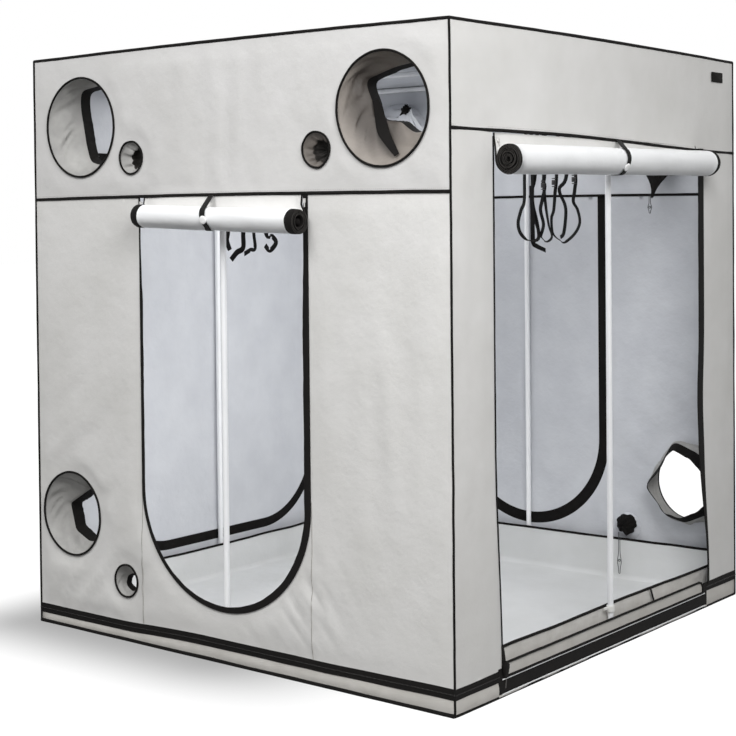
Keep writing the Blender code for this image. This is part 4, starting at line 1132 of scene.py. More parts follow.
# Base: a shallow pan, the zip band round it, the trims of the wide door, and the loose tray inside

def stripOn(patch, wall, start, end, low, high, lift, rows=4, step=0.03):
    # An upright strip of cloth on a wall; its lower and upper edges are functions of s
    places = spaced(start, end, max(round((end - start) / step), 2))
    grid, uvRows = [], []
    for k in range(rows + 1):
        share = k / rows
        spots = [(s, low(s) + (high(s) - low(s)) * share) for s in places]
        grid.append([onWall(wall, s, z, lift(s, share)) for s, z in spots])
        uvRows.append(spots)
    patch.grid(grid, uvRows)


def floorNet(patch, x, y, count, height):
    # A level net of cloth inside the walls; height is a function of its place
    net, uvs = [], []
    for i in range(count + 1):
        across = y * (1 - 2 * i / count)
        spots = [(x * (2 * k / count - 1), across) for k in range(count + 1)]
        net.append([Vector((*spot, height(*spot))) for spot in spots])
        uvs.append(spots)
    patch.grid(net, uvs)


def spansOf(wall, half, inner=0.0):
    # The whole wall, or what the wide door leaves of the right one
    if wall != "right":
        return [(-half, half)]
    return [(-half, gate["near"] + inner), (gate["far"] - inner, half)]


def makePan():
    patch = Patchwork()
    for index, wall in enumerate(walls):
        half = wallHalf[wall]

        def top(s, wall=wall):
            if wall == "right" and gate["near"] < s < gate["far"]:
                return gate["bandLow"]
            return bandMiddle(wall, s) - base["bandHalf"] + 1.5 * base["lap"]

        def puff(s, share, index=index, half=half):
            pinned = ease((half - abs(s)) / 0.05)
            bulge = base["pan"] * math.sin(math.pi * min(share / 0.85, 1.0)) * pinned
            return bulge * (1 + 0.9 * wander(s * 5, index * 9.0))

        spans = spansOf(wall, half)
        if wall == "right":
            spans.insert(1, (gate["near"] + 1e-4, gate["far"] - 1e-4))
        for start, end in spans:
            stripOn(patch, wall, start, end, lambda s: base["foot"], top, puff, rows=5)
    floorNet(patch, halfX, halfY, 24, lambda x, y: base["foot"])
    pan = patch.make("basePan", ["baseCanvas"])
    thicken(pan, cloth["thick"])
    settle(pan, "tent", "base_floor")


def makeBand():
    trim = gate["trim"]
    patch = Patchwork()
    for index, wall in enumerate(walls):

        def low(s, wall=wall, index=index):
            return bandMiddle(wall, s) - base["bandHalf"] + 0.0014 * wander(s * 6, index * 5.0)

        def high(s, wall=wall, index=index):
            return bandMiddle(wall, s) + base["bandHalf"] + 0.0018 * wander(s * 5, index * 5.0 + 2)

        def out(s, share, index=index):
            return base["bandProud"] + 0.0012 * wander(s * 7, share * 2, index * 4.0)

        for start, end in spansOf(wall, wallHalf[wall] + base["bandProud"], trim):
            stripOn(patch, wall, start, end, low, high, out)
    for start, end in ((gate["near"], gate["near"] + trim), (gate["far"] - trim, gate["far"])):
        stripOn(patch, "right", start, end, lambda s: gate["bandLow"], lambda s: bandTop,
                lambda s, share: base["bandProud"] * 1.4, step=0.007)
    stripOn(patch, "right", gate["near"], gate["far"],
            lambda s: gate["bandLow"] + 0.0008 * wander(s * 6, 4.0),
            lambda s: gate["bandHigh"] + 0.0010 * wander(s * 6, 9.0),
            lambda s, share: base["bandProud"] + 0.001 * math.sin(math.pi * share))
    tapePiece("zipBand", patch, "base_zip_band", cloth["band"])

    for wall in ("front", "back", "left", "right"):
        for start, end in spansOf(wall, wallHalf[wall]):
            line = [onWall(wall, s, bandMiddle(wall, s), base["zipProud"]) for s in spaced(start, end, 40)]
            zipLines.setdefault(wall, []).append((line, False))


makePan()
makeBand()


tray = {
    "floor": 0.0036, "inset": 0.032, "high": 0.152, "hem": 0.0052, "count": 56, "levels": 8,
    "pace": 0.035,  # cloth between two points of the wall
    # The hem sags near the wide door's near end
    "sag": 0.016, "sagAt": -0.80, "sagReach": 0.09,
    "lean": 0.004, "bow": 0.007,
}


def trayTop(px, py, x, y, run):
    # The hem stands a little uneven all round, higher at the back and lower at the left
    top = tray["high"]
    if px > x - 0.01:
        top -= tray["sag"] * math.exp(-(((py - tray["sagAt"]) / tray["sagReach"]) ** 2))
    top += 0.007 * wander(run * 1.5, 3.0) + 0.002 * wander(run * 6, 3.0)
    if py > y - 0.01:
        top += (0.021 + 0.009 * px) * ease((px + 0.9) / 0.7)
    if px < -x + 0.01:
        top -= 0.010 * ease((0.9 - py) / 0.5) * ease((py + 0.9) / 0.5)
    return top


def makeTray():
    x, y = halfX - tray["inset"], halfY - tray["inset"]
    low, high, count = tray["floor"], tray["high"], tray["count"]
    corners = [(-x, -y), (x, -y), (x, y), (-x, y)]
    path = []
    for (x0, y0), (x1, y1) in zip(corners, corners[1:] + corners[:1]):
        path += [(x0 + (x1 - x0) * i / count, y0 + (y1 - y0) * i / count) for i in range(count)]

    def wallPoint(index, share):
        px, py = path[index]
        run = index * tray["pace"]
        top = trayTop(px, py, x, y, run)
        lean = tray["lean"] * share * (wander(run * 1.6, 6.0) + 0.4)
        bow = tray["bow"] * math.sin(math.pi * share) * wander(run * 2.6 + share * 1.5, 9.0)
        px -= math.copysign(lean + bow, px) if abs(px) > x - 0.0005 else 0
        py -= math.copysign(lean + bow, py) if abs(py) > y - 0.0005 else 0
        return Vector((px, py, low + (top - low) * share))

    def hump(gx, gy):
        edge = min(x - abs(gx), y - abs(gy))
        soft = max(wander(gx * 2.2, gy * 2.2, 4.0), 0) * 0.004
        return low + (soft + 0.0012 * max(wander(gx * 9, gy * 6, 8.0), 0)) * ease(edge / 0.12)

    patch = Patchwork()
    rings, uvRows = [], []
    for k in range(tray["levels"] + 1):
        share = k / tray["levels"]
        rings.append([wallPoint(i, share) for i in range(len(path))])
        uvRows.append([(i * tray["pace"], share * high) for i in range(len(path) + 1)])
    patch.grid(rings, uvRows, loop=True)
    floorNet(patch, x, y, count, hump)
    obj = patch.make("floorTray", ["trayCanvas", "trayLining"])
    thicken(obj, cloth["thick"], inner=1)
    settle(obj, "tent", "floor_tray")
    hem = [wallPoint(i, 1.0) + Vector((0, 0, -0.002)) for i in range(len(path))]
    settle(piping("trayHem", [(hem, True)], tray["hem"], wanderBy=0.003, grain=6.0), "tent")


makeTray()
print("base and tray laid")


sill = {
    "proud": 0.003, "binding": 0.0046, "bindingFoot": 0.0662,
    # A painted highlight along the gate band's edges: its inset from the gate's ends, how proud it stands
    # and its radius
    "highlightInset": 0.02, "highlightProud": 0.0032, "highlightRadius": 0.0024,
}
zipEnd = {
    "place": (-0.722, 0.094, 0.006), "half": (0.017, 0.027, 0.009), "lumpy": 0.38, "sides": 20, "levels": 8,
}


def makeSill():
    # The flap over the foot of the wide door, bound in black on top and at its rounded far corner
    left = gate["near"] + gate["trim"] + gate["rise"]
    right = gate["far"] - gate["trim"] - gate["rise"]
    foot = gate["tapeFoot"] + gate["rise"]
    high, corner = gate["sillHigh"], gate["sillCorner"]
    outline = [(left, foot), (right, foot)]
    outline += arc(right - corner, high - corner, corner, 0, math.pi / 2, 8)
    outline.append((left, high))
    obj, flat, area = clothPanel("sillFlap", wallPlace("right"), outline, [], ["baseCanvas", "baseCanvas"],
                                 lambda s, z, gap: 0.002 + 0.0015 * wander(s * 4, z * 9) * ease(gap / 0.01),
                                 step=0.014)
    settle(obj, "tent", "door_sill_flap")
    edge = [onWall("right", s, z, sill["proud"]) for s, z in outline[1:]]
    low = [onWall("right", left + (right - left) * k / 50, sill["bindingFoot"], sill["proud"])
           for k in range(51)]
    binding = piping("sillBinding", [(edge, False), (low, False)], sill["binding"], wanderBy=0.002)
    settle(binding, "tent")
    # Two thin white tubes along the gate band's low and high edges: a painted highlight where the cloth's
    # edges catch the light
    start, end = gate["near"] + sill["highlightInset"], gate["far"] - sill["highlightInset"]
    lines = [([onWall("right", s, z, sill["highlightProud"]) for s in spaced(start, end, 30)], False)
             for z in (gate["bandLow"] - 0.0015, gate["bandHigh"] - 0.0005)]
    white = piping("gateEdgeHighlight", lines, sill["highlightRadius"], look="doorLining", wanderBy=0.0006)
    settle(white, "tent")


def makeZipEnd():
    # The zip's end: slider, pull and spare tape crumpled together at the near foot
    s, z, out = zipEnd["place"]
    wide, high, deep = zipEnd["half"]
    sides, levels = zipEnd["sides"], zipEnd["levels"]
    rings, uvRows = [], []
    for k in range(1, levels):
        tilt = math.pi * k / levels
        ring = []
        for turn in turnsOf(sides):
            swell = zipEnd["lumpy"] * wander(math.cos(turn) * 2, math.sin(turn) * 2, tilt * 1.3)
            lump = 1 + swell * math.sin(tilt)
            ring.append(onWall("right", s + wide * lump * math.sin(tilt) * math.cos(turn),
                               z - high * math.cos(tilt),
                               out + deep * lump * math.sin(tilt) * math.sin(turn)))
        rings.append(ring)
        uvRows.append([(0.003 * i, 0.005 * k) for i in range(sides + 1)])
    patch = Patchwork()
    patch.grid(rings, uvRows, loop=True, flip=True)
    patch.fan(rings[0])
    patch.fan(rings[-1], flip=True)
    settle(patch.make("zipEnd", ["nylonTape"]), "tent")


makeSill()
makeZipEnd()


# Seams: piping along the edges of the body, the header seams and the ports

seam = {
    "radius": 0.0060, "foot": 0.0085, "corner": 0.0042, "thin": 0.0011, "port": 0.0042, "smallPort": 0.0038,
    "inward": 0.0020, "crown": 0.0062,  # how far the roof's edges rise between the corners
    "portProud": 0.0036, "fineProud": 0.0008, "fineBeside": 0.004, "fineTop": 0.62,
    "stitchUp": 0.0115, "stitchProud": 0.0006,
}
# Zip teeth and stitches: their distance and the size of one
coil = {"pitch": 0.005, "bead": (0.0026, 0.0062, 0.0016)}
stitch = {"pitch": 0.008, "bead": (0.0052, 0.0012, 0.0010)}


def bodyPiping():
    # Along the roof's edges, the foot, the upright corners and the header seams
    x, y = halfX - seam["inward"], halfY - seam["inward"]
    corners = ((-x, -y), (x, -y), (x, y), (-x, y))
    top, foot = [], []
    for (x0, y0), (x1, y1) in zip(corners, corners[1:] + corners[:1]):
        for k in range(40):
            share = k / 40
            spot = (x0 + (x1 - x0) * share, y0 + (y1 - y0) * share)
            top.append(Vector((*spot, roofTop + 0.0002 + seam["crown"] * math.sin(math.pi * share))))
            foot.append(Vector((*spot, base["pipe"] + 0.0006)))
    lines = [(top, True), (foot, True)]
    thinLines = []
    for x0, y0 in corners:
        upright = ([Vector((x0, y0, 0.006 + (roofTop - 0.006) * k / 60)) for k in range(61)], False)
        (thinLines if x0 > 0 and y0 < 0 else lines).append(upright)
    for wall in walls:
        half = wallHalf[wall] - seam["inward"]
        run = [onWall(wall, s, z + 0.001, 0.0) for s, z in seamLine(wall, -half, half, 0.033)]
        lines.append((run, False))
    frontFoot = [Vector((point.x, point.y, point.z + 0.0012)) for point in foot[:41]]
    pipe = joinPieces("seamPiping", [
        piping("footPiping", [(frontFoot, False)], seam["foot"], wanderBy=0.0030, grain=4.0),
        piping("seamPiping", lines, seam["radius"], wanderBy=0.0030, grain=5.0),
        piping("cornerPiping", thinLines, seam["corner"], wanderBy=0.0040, grain=6.0)])
    settle(pipe, "tent")


def panelSeams():
    # The fine upright seams beside the U doors, which follow the cloth down to the band
    fine = []
    for wall in ("front", "back"):
        edge = np.array(doorEdge(*doorCut(wall)))
        for sign in (-1, 1):
            s = sign * (uDoor["half"] + seam["fineBeside"])
            foot = bandMiddle(wall, s) + base["bandHalf"]
            rise = np.array([(s, foot + (seam["fineTop"] - foot) * k / 40) for k in range(41)])
            gaps = np.minimum(nearness(rise, edge), rise[:, 1] - foot + base["bandHalf"])
            fine.append(([onWall(wall, s, z, wallLift[wall](s, z, gap) + seam["fineProud"])
                          for (s, z), gap in zip(rise, gaps)], False))
    seams = piping("panelSeams", fine, seam["thin"], look="seamThread", wanderBy=0.001)
    settle(seams, "tent")


def portRings():
    rings = {seam["port"]: [], seam["smallPort"]: []}
    for wall in ("front", "back"):
        for s, z, radius in upperHoles() + lowerHoles:
            size = seam["port"] if radius > 0.1 else seam["smallPort"]
            loop = [onWall(wall, s + (radius + 0.002 * wander(a * 1.3, z * 7)) * math.cos(a),
                           z + (radius + 0.0035 * wander(a * 1.1, s * 9)) * math.sin(a), seam["portProud"])
                    for a in turnsOf(96)]
            rings[size].append((loop, True))
    parts = [piping("rings", loops, size, wanderBy=0.0022, step=0.012, grain=14.0)
             for size, loops in rings.items()]
    settle(joinPieces("portRings", parts), "tent")


def makeSeams():
    bodyPiping()
    panelSeams()
    portRings()
    teeth = beads("zipCoils", zipLines, coil["pitch"], coil["bead"], "blackAcetal")
    settle(teeth, "tent")
    runs = {}
    for wall in wallTurn:
        half = wallHalf[wall] - 0.01
        line = [onWall(wall, s, z + seam["stitchUp"], seam["stitchProud"])
                for s, z in seamLine(wall, -half, half, 0.025)]
        runs[wall] = [(line, False)]
    stitches = beads("seamStitches", runs, stitch["pitch"], stitch["bead"], "seamThread", seed=9)
    settle(stitches, "tent")


makeSeams()
print("seams, zips and stitches done")


# Port sleeves: each a soft sock of canvas that hangs inwards, its mouth bound in a black hem

sleeves = {
    # Corners of each mouth, (s, z) from the hole's centre, as the hem hangs; depth runs to the mouth
    "front_upper_left": {"depth": 0.135, "look": "sleeveCanvas", "mouth": [
        (0.15, 0.02), (0.125, 0.13), (0.03, 0.165), (-0.098, 0.148), (-0.098, 0.08), (-0.068, -0.06),
        (-0.045, -0.128), (0.01, -0.142), (0.11, -0.12)]},
    "front_upper_right": {"depth": 0.120, "look": "shadedTaupeCanvas", "mouth": [
        (0.17, 0.0), (0.16, 0.09), (0.10, 0.15), (0.0, 0.137), (-0.130, 0.10), (-0.102, 0.046),
        (-0.080, -0.03), (0.03, -0.045), (0.075, -0.085), (0.13, -0.07)]},
    "front_lower_left": {"depth": 0.106, "look": "sleeveCanvas", "hemIn": 0.012, "mouth": [
        (0.14, 0.03), (0.13, 0.09), (0.060, 0.102), (-0.080, 0.022), (-0.050, -0.08), (0.030, -0.116),
        (0.11, -0.10)]},
    "back_upper_left": {"depth": 0.100, "look": "sleeveCanvas", "mouth": [
        (0.050, 0.008), (0.0, 0.026), (-0.050, 0.008), (0.0, -0.034)],
        "shift": 0.050, "sag": 0.192, "tip": 0.088},
    "back_upper_right": {"depth": 0.130, "look": "reflectiveLining", "mouth": [
        (0.030, 0.0), (0.0, 0.024), (-0.030, 0.0), (0.0, -0.024)], "shift": -0.105, "sag": -0.155},
    "back_lower_left": {"depth": 0.110, "look": "sleeveCanvas", "hemIn": 0.024, "mouth": [
        (0.184, -0.022), (0.12, 0.06), (0.050, 0.176), (0.02, 0.165), (-0.06, 0.135), (-0.14, 0.06),
        (-0.145, -0.06), (-0.10, -0.115), (0.0, -0.160), (0.09, -0.140), (0.125, -0.09)]},
}
smallSleeves = {
    "front_upper_left": {"look": "sleeveCanvas", "hemLook": "wornTapeAndRimHighlight", "bunch": (0.026, -0.004, 0.036)},
    "front_upper_right": {"look": "shadedTaupeCanvas", "hemLook": "wornTapeAndRimHighlight", "bunch": (0.014, -0.004, 0.036)},
    "front_lower_left": {"look": "sleeveCanvas", "hemIn": 0.010, "mouth": [
        (0.032, -0.028), (0.026, 0.004), (-0.004, 0.022), (-0.034, 0.008), (-0.044, -0.028),
        (-0.008, -0.050)]},
    "back_upper_left": {"look": "sleeveCanvas", "mouth": [
        (0.045, 0.01), (0.03, 0.045), (-0.02, 0.044), (-0.040, 0.002), (-0.015, -0.042), (0.03, -0.04)]},
    "back_upper_right": {"look": "sleeveCanvas", "bunch": (0.0, 0.0, 0.034)},
    "back_lower_left": {"look": "reflectiveLining", "bunch": (-0.004, 0.014, 0.040)},
}
sleeveCloth = {
    "hem": 0.046, "smallHem": 0.018, "around": 112, "smallAround": 64, "rows": 14,
    "fold": 0.013, "smallFold": 0.004,  # height of the folds
    "rounding": 5,  # times a mouth's corners are evened out
    "slant": 1.1,  # radians that the folds turn round on their way in
}
# A bunched sleeve from its ring to its middle: share of the depth, reach, and whether it is the hem's tape.
# The reaches of the first two are shares of the ring's, those of the rest of the bunch's width.
bunchFrom = ((0.0, 1.0, 0), (0.10, 0.90, 0))
bunchTo = ((0.20, 1.12, 0), (0.26, 1.0, 1), (0.45, 1.04, 1), (0.65, 1.0, 1), (0.82, 0.86, 1),
           (0.94, 0.62, 1), (1.0, 0.36, 1), (0.95, 0.14, 1), (0.9, 0.03, 1))
# The loose end of hem in one sleeve: its way over the mouth, the direction of its width, and that width at
# its start, how much it narrows and how much it is spread in the middle
hemTail = {
    "way": ((-0.078, 0.035), (-0.062, -0.020), (-0.038, -0.065), (-0.009, -0.099), (0.053, -0.152)),
    "across": (0.85, 0.40, 0.34), "width": 0.020, "narrows": 0.004, "spread": 0.022, "thick": 0.0022,
    "proud": 0.007,
}


def mouthRing(corners, count):
    # Reach of the mouth in each direction from its centre, its corners a little rounded
    reaches = []
    for angle in turnsOf(count):
        c, d = math.cos(angle), math.sin(angle)
        best = 0.0
        for (s0, z0), (s1, z1) in zip(corners, corners[1:] + corners[:1]):
            ds, dz = s1 - s0, z1 - z0
            det = d * ds - c * dz
            if abs(det) < 1e-12:
                continue
            reach = (z0 * ds - s0 * dz) / det
            along = (c * z0 - d * s0) / det
            if reach > 0 and -1e-9 <= along <= 1 + 1e-9:
                best = max(best, reach)
        reaches.append(best)
    for _ in range(sleeveCloth["rounding"]):
        reaches = [(reaches[k - 1] + 2 * reaches[k] + reaches[(k + 1) % count]) / 4 for k in range(count)]
    return reaches


def sleeveRows(own, rim, count, depth, hem, fold, seed):
    # Rings from the hole to the mouth: (share of depth, list of (s, z)); the last ones are the hem
    mouth = mouthRing(own["mouth"], count)
    shift, sag = own.get("shift", 0.0), own.get("sag", 0.0)
    neck = 1 - hem / depth
    rings = []
    steps = sleeveCloth["rows"]
    for i in range(steps + 6):
        share = neck * i / steps if i <= steps else neck + (1 - neck) * (i - steps) / 5
        blend = min(share / neck, 1.0)
        ring = []
        past = max(share - neck, 0.0) / (1 - neck)
        for k, angle in enumerate(turnsOf(count)):
            c, d = math.cos(angle), math.sin(angle)
            reach = rim + (mouth[k] - rim) * (ease(blend) if shift else blend)
            slant = angle + sleeveCloth["slant"] * blend
            c2, d2 = math.cos(slant), math.sin(slant)
            crease = 1 - 2.6 * abs(wander(c2 * 2.6 + seed, d2 * 2.6, blend * 0.9 + seed))
            crease += 0.6 * (1 - 2.6 * abs(wander(c2 * 5.2, d2 * 5.2 + seed, blend * 1.4)))
            reach += fold * crease * math.sin(math.pi * min(blend, 1.0)) * 0.8
            if past:
                reach += 0.0022 * wander(c * 6, d * 6, seed + share * 4) - own.get("hemIn", 0.004) * past
            drop = sag * blend ** 2
            if shift:
                reach *= 1 + 0.17 * math.sin(angle * 11 + 1.5 * wander(angle * 2, seed)) * ease(blend * 1.3)
                reach *= 0.12 + 0.88 * (1 - past) ** 2
                drop += own.get("tip", 0.030) * past
            ring.append((shift * ease(blend) + reach * c, reach * d - drop))
        rings.append((share, ring))
    return rings


def sleevePiece(name, wall, s, z, own, rim, count, depth, hem, fold, seed, thick, node=None):
    patch = Patchwork()
    rings = sleeveRows(own, rim, count, depth, hem, fold, seed)
    steps = sleeveCloth["rows"]
    for slot, part in ((0, rings[:steps + 1]), (1, rings[steps:])):
        grid = [[onWall(wall, s + a, z + b, -depth * share) for a, b in ring] for share, ring in part]
        uvRows = [[(math.tau * rim * k / count, depth * share) for k in range(count + 1)]
                  for share, _ in part]
        patch.grid(grid, uvRows, slot, loop=True)
    if "shift" in own:
        patch.fan(grid[-1], 1)
    obj = patch.make(name, [own["look"], "nylonTape"])
    thicken(obj, thick)
    return settle(obj, "tent", node)


def bunchPiece(name, wall, s, z, own, rim, depth, seed):
    # A sleeve drawn shut: a short cone of cloth, then the black hem crumpled together in the middle
    shiftS, shiftZ, wide = own["bunch"]
    count = sleeveCloth["smallAround"]
    profile = [(share, rim * part, slot) for share, part, slot in bunchFrom]
    profile += [(share, wide * part, slot) for share, part, slot in bunchTo]
    rows = []
    for share, reach, slot in profile:
        ring = []
        drawn = ease((rim - reach) / (rim - wide)) if reach > wide else 1.0
        for angle in turnsOf(count):
            c, d = math.cos(angle), math.sin(angle)
            pleat = 0.05 * math.sin(angle * 9 + seed + 2 * share) + 0.05 * math.sin(angle * 5 - seed)
            pleat += 0.22 * wander(c * 2, d * 2, seed + share * 2)
            around = reach * (1 + pleat * drawn)
            deep = depth * share + 0.010 * drawn * wander(c * 4, d * 4, seed + 5)
            ring.append(onWall(wall, s + shiftS * drawn + around * c, z + shiftZ * drawn + around * d,
                               -max(deep, 0.0)))
        rows.append(ring)
    uv = [[(0.5 + 0.004 * k, 0.02 + 0.008 * i) for k in range(count + 1)] for i in range(len(rows))]
    split = next(i for i, (_, _, slot) in enumerate(profile) if slot)
    patch = Patchwork()
    patch.grid(rows[:split + 1], uv[:split + 1], 0, loop=True)
    patch.grid(rows[split:], uv[split:], 1, loop=True)
    patch.fan(rows[-1], 1)
    obj = patch.make(name, [own["look"], own.get("hemLook", "nylonTape")])
    thicken(obj, cloth["bunch"])
    return settle(obj, "tent")


def makeSleeves():
    jobs = []
    for wall in ("front", "back"):
        for sign, side in ((-1, "left"), (1, "right")):
            jobs.append((f"{wall}_upper_{side}",
                         (sign * ports["upperS"], ports["upperZ"], ports["upperRadius"]),
                         (sign * ports["smallUpperS"], ports["smallUpperZ"])))
        jobs.append((f"{wall}_lower_left", lowerHoles[0], lowerHoles[1][:2]))
    for index, (key, (s, z, hole), small) in enumerate(jobs):
        wall = key.split("_")[0]
        label = "".join(part.capitalize() for part in key.split("_"))
        own = sleeves[key]
        depth = own["depth"]
        obj = sleevePiece("sleeve" + label, wall, s, z, own, hole - 0.001, sleeveCloth["around"], depth,
                          sleeveCloth["hem"], sleeveCloth["fold"], index * 2.3, cloth["sleeve"],
                          "sleeve_" + key)
        own = smallSleeves[key]
        radius, depth = ports["smallRadius"] - 0.001, ports["smallDepth"]
        name = "smallSleeve" + label
        if "bunch" in own:
            obj = bunchPiece(name, wall, *small, own, radius, depth, index * 1.7)
        else:
            obj = sleevePiece(name, wall, *small, own, radius, sleeveCloth["smallAround"], depth,
                              sleeveCloth["smallHem"], sleeveCloth["smallFold"], index * 3.1,
                              cloth["smallSleeve"])


def makeHemTail():
    # A loose end of the hem lies across the sleeve nearest the tent's corner
    own = sleeves["front_upper_right"]
    rim, neck = ports["upperRadius"], 1 - sleeveCloth["hem"] / own["depth"]
    mouth = mouthRing(own["mouth"], 360)
    spots = []
    for a, b in hemTail["way"]:
        reach = mouth[round(math.degrees(math.atan2(b, a))) % 360]
        blend = min(max((rim - math.hypot(a, b)) / (rim - reach), 0.0), 1.0)
        spots.append(onWall("front", ports["upperS"] + a, ports["upperZ"] + b,
                            hemTail["proud"] - own["depth"] * neck * blend))
    patch = Patchwork()
    flatRibbon(patch, smoothLine(spots, 8), Vector(hemTail["across"]),
               lambda share: (hemTail["width"] - hemTail["narrows"] * share
                              + hemTail["spread"] * math.sin(math.pi * share)), hemTail["thick"])
    settle(patch.make("hemTail", ["nylonTape"]), "tent")


makeSleeves()
makeHemTail()
print("sleeves hung")


# Rolled doors: each door winds in from the outside, its edges bound in zip tape that shows as rings

rolls = {
    "sheet": 0.0022, "core": 0.0045, "plug": 0.010, "telescope": 0.010, "coreWidthShare": 0.3,
    "skewStart": 0.4, "standoff": 0.010, "turnSteps": 30, "crumple": 0.0016,
    "pinch": 0.06, "pinchReach": 0.045,  # how much, and how far round the strap, the roll is drawn in
    "seamTape": 0.007,
    "front": {
        "radius": 0.043, "drop": 0.075, "skewTop": 0.0, "skew": 0.030, "half": 0.3867, "columns": 26,
        "tapes": (0.031, 0.032), "edge": 0.0034, "tilt": -0.032, "rise": 0.0,
        "strapTop": -0.037, "strapSnap": 0.024, "strapFoot": 0.002, "strapRun": 0.5, "snap": 0.10,
    },
    "right": {
        "radius": 0.050, "drop": 0.079, "skewTop": -0.048, "skew": -0.053, "half": 0.7124, "columns": 42,
        "tapes": (0.009, 0.022), "edge": 0.0040, "tilt": 0.010, "rise": 0.006,
        "strapTop": 0.050, "strapSnap": -0.078, "strapFoot": -0.052, "strapRun": 0.75, "snap": 0.52,
    },
}


def rollRise(wall, s):
    # The roll doesn't hang level: how much higher it is at this place
    own = rolls[wall]
    return own["rise"] + own["tilt"] * (s - own["skew"])


def rollRows(wall, top, doorLength, footRadius):
    # Rows along the door: place (out, z) of its middle line, the turn it is on, low and high s
    own = rolls[wall]
    centreOut = rolls["standoff"] + own["radius"]
    centreZ = (frontSeam if wall == "front" else sideSeam) - own["drop"]
    straight = top - centreZ
    path = []
    for i in range(10):
        share = i / 10
        soft = ease(share)
        out = -0.001 * (1 - soft) + rolls["standoff"] * soft
        turned = max(soft - rolls["skewStart"], 0.0) / (1 - rolls["skewStart"])
        shift = own["skewTop"] + (own["skew"] - own["skewTop"]) * turned
        path.append((out, top - 0.0003 - straight * share, None, shift - own["half"], shift + own["half"]))
    wound = doorLength - straight
    turns = wound / (math.pi * (own["radius"] + rolls["core"]))
    pitch = (own["radius"] - rolls["core"]) / turns
    run, before = straight, None
    steps = rolls["turnSteps"]
    for i in range(int(turns * steps) + 1):
        angle = math.tau * i / steps
        reach = own["radius"] - pitch * i / steps
        spot = Vector((centreOut - reach * math.cos(angle), centreZ - reach * math.sin(angle)))
        if before is not None:
            run += (spot - before).length
        before = spot
        past = max(run - (doorLength - footRadius), 0.0) / footRadius
        keep = own["half"] * math.sqrt(max(1 - past * past, rolls["coreWidthShare"] ** 2))
        path.append((spot.x, spot.y, angle, own["skew"] - keep, own["skew"] + keep))
    return path, centreOut, centreZ


def makeRoll(name, wall, top, doorLength, footRadius, node, body):
    own = rolls[wall]
    path, centreOut, centreZ = rollRows(wall, top, doorLength, footRadius)
    columns = own["columns"]
    outer, inner, uvRows = [], [], []
    run = 0.0
    for i, (out, z, angle, low, high) in enumerate(path):
        a = path[max(i - 1, 0)]
        b = path[min(i + 1, len(path) - 1)]
        along = Vector((b[0] - a[0], b[1] - a[1])).normalized()
        side = Vector((-along.y, along.x))  # towards the outer face of the winding
        if i:
            run += math.hypot(out - path[i - 1][0], z - path[i - 1][1])
        span = high - low
        near, far = (min(tape / span, 0.3) for tape in
                     (own["tapes"] if angle is not None else (rolls["seamTape"],) * 2))
        shares = [0.0, near * 0.5, near * 0.94, near * 1.02]
        shares += [near + (1 - near - far) * k / columns for k in range(1, columns)]
        shares += [1 - far * 1.02, 1 - far * 0.94, 1 - far * 0.5, 1.0]
        outerRow, innerRow, uvs = [], [], []
        for share in shares:
            s = low + span * share
            banded = share <= near * 0.95 or share >= 1 - far * 0.95
            half = (own["edge"] if banded else rolls["sheet"]) / 2
            if share in (0.0, 1.0):
                half *= 0.55
            if angle is None:
                spotOut, spotZ = out, z + rollRise(wall, s) * (top - z) / (top - centreZ)
                half = min(half, 0.0014)
            else:
                # The whole roll is a little out of round and drawn in under its strap
                way = Vector((out - centreOut, z - centreZ))
                c, d = math.cos(angle), math.sin(angle)
                loose = wander(c * 1.2, d * 1.2, s * 4.0) + 0.5 * wander(c * 3, d * 3, s * 11.0)
                loose *= rolls["crumple"]
                pull = rolls["pinch"] * math.exp(-((s - own["strapSnap"]) / rolls["pinchReach"]) ** 2)
                scale = 1 - pull * 0.8 + loose / own["radius"]
                spotOut, spotZ = centreOut + way.x * scale, centreZ + way.y * scale + rollRise(wall, s)
                if banded:
                    turn = angle / math.tau
                    s += 0.0022 * wander(angle * 0.7, share * 2, 5.0)
                    s += rolls["telescope"] * wander(turn * 1.3, 7.0) * min(turn, 1.0)
            outerRow.append(onWall(wall, s, spotZ + side.y * half, spotOut + side.x * half))
            innerRow.append(onWall(wall, s, spotZ - side.y * half, spotOut - side.x * half))
            uvs.append((s, run))
        outer.append(outerRow)
        inner.append(innerRow)
        uvRows.append(uvs)
    patch = Patchwork()
    last = len(outer[0]) - 1
    for first, end, slot, back in ((0, 3, 1, 1), (3, last - 3, 3, 0), (last - 3, last, 1, 1)):
        cut = [uv[first:end + 1] for uv in uvRows]
        patch.grid([row[first:end + 1] for row in outer], cut, slot, flip=False)
        patch.grid([row[first:end + 1] for row in inner], cut, back, flip=True)
    for column, flip in ((0, True), (-1, False)):
        edgeRows = [[a[column], b[column]] for a, b in zip(outer, inner)]
        # The cut edges of the turns take the grey tape: a painted highlight that makes the rings of the
        # winding show
        patch.grid(edgeRows, [[(0, uv[0][1]), (0.003, uv[0][1])] for uv in uvRows], 2, flip=flip)
        # The heart of the winding is filled by the door's crumpled last turn
        start = path[-1][3] if column == 0 else path[-1][4] - 0.05
        end = own["skew"] + (-own["half"] if column == 0 else own["half"]) * 0.99
        level = centreZ + rollRise(wall, end)
        plug = [onWall(wall, s, level, centreOut) for s in spaced(*sorted((start, end)), 4)]
        tubeAlong(patch, plug, rolls["plug"], sides=14, slot=1)
    for index, flip in ((0, False), (-1, True)):
        patch.grid([outer[index], inner[index]], [uvRows[index], uvRows[index]], 0, flip=flip)
    obj = patch.make(name, ["doorLining", "nylonTape", "wornTapeAndRimHighlight", "coatedCanvas"])
    settle(obj, body, node)
    return centreOut, centreZ


snap = {"radius": 0.0150, "dome": 0.0042, "webbing": 0.025, "thick": 0.0016, "loose": 0.0014}


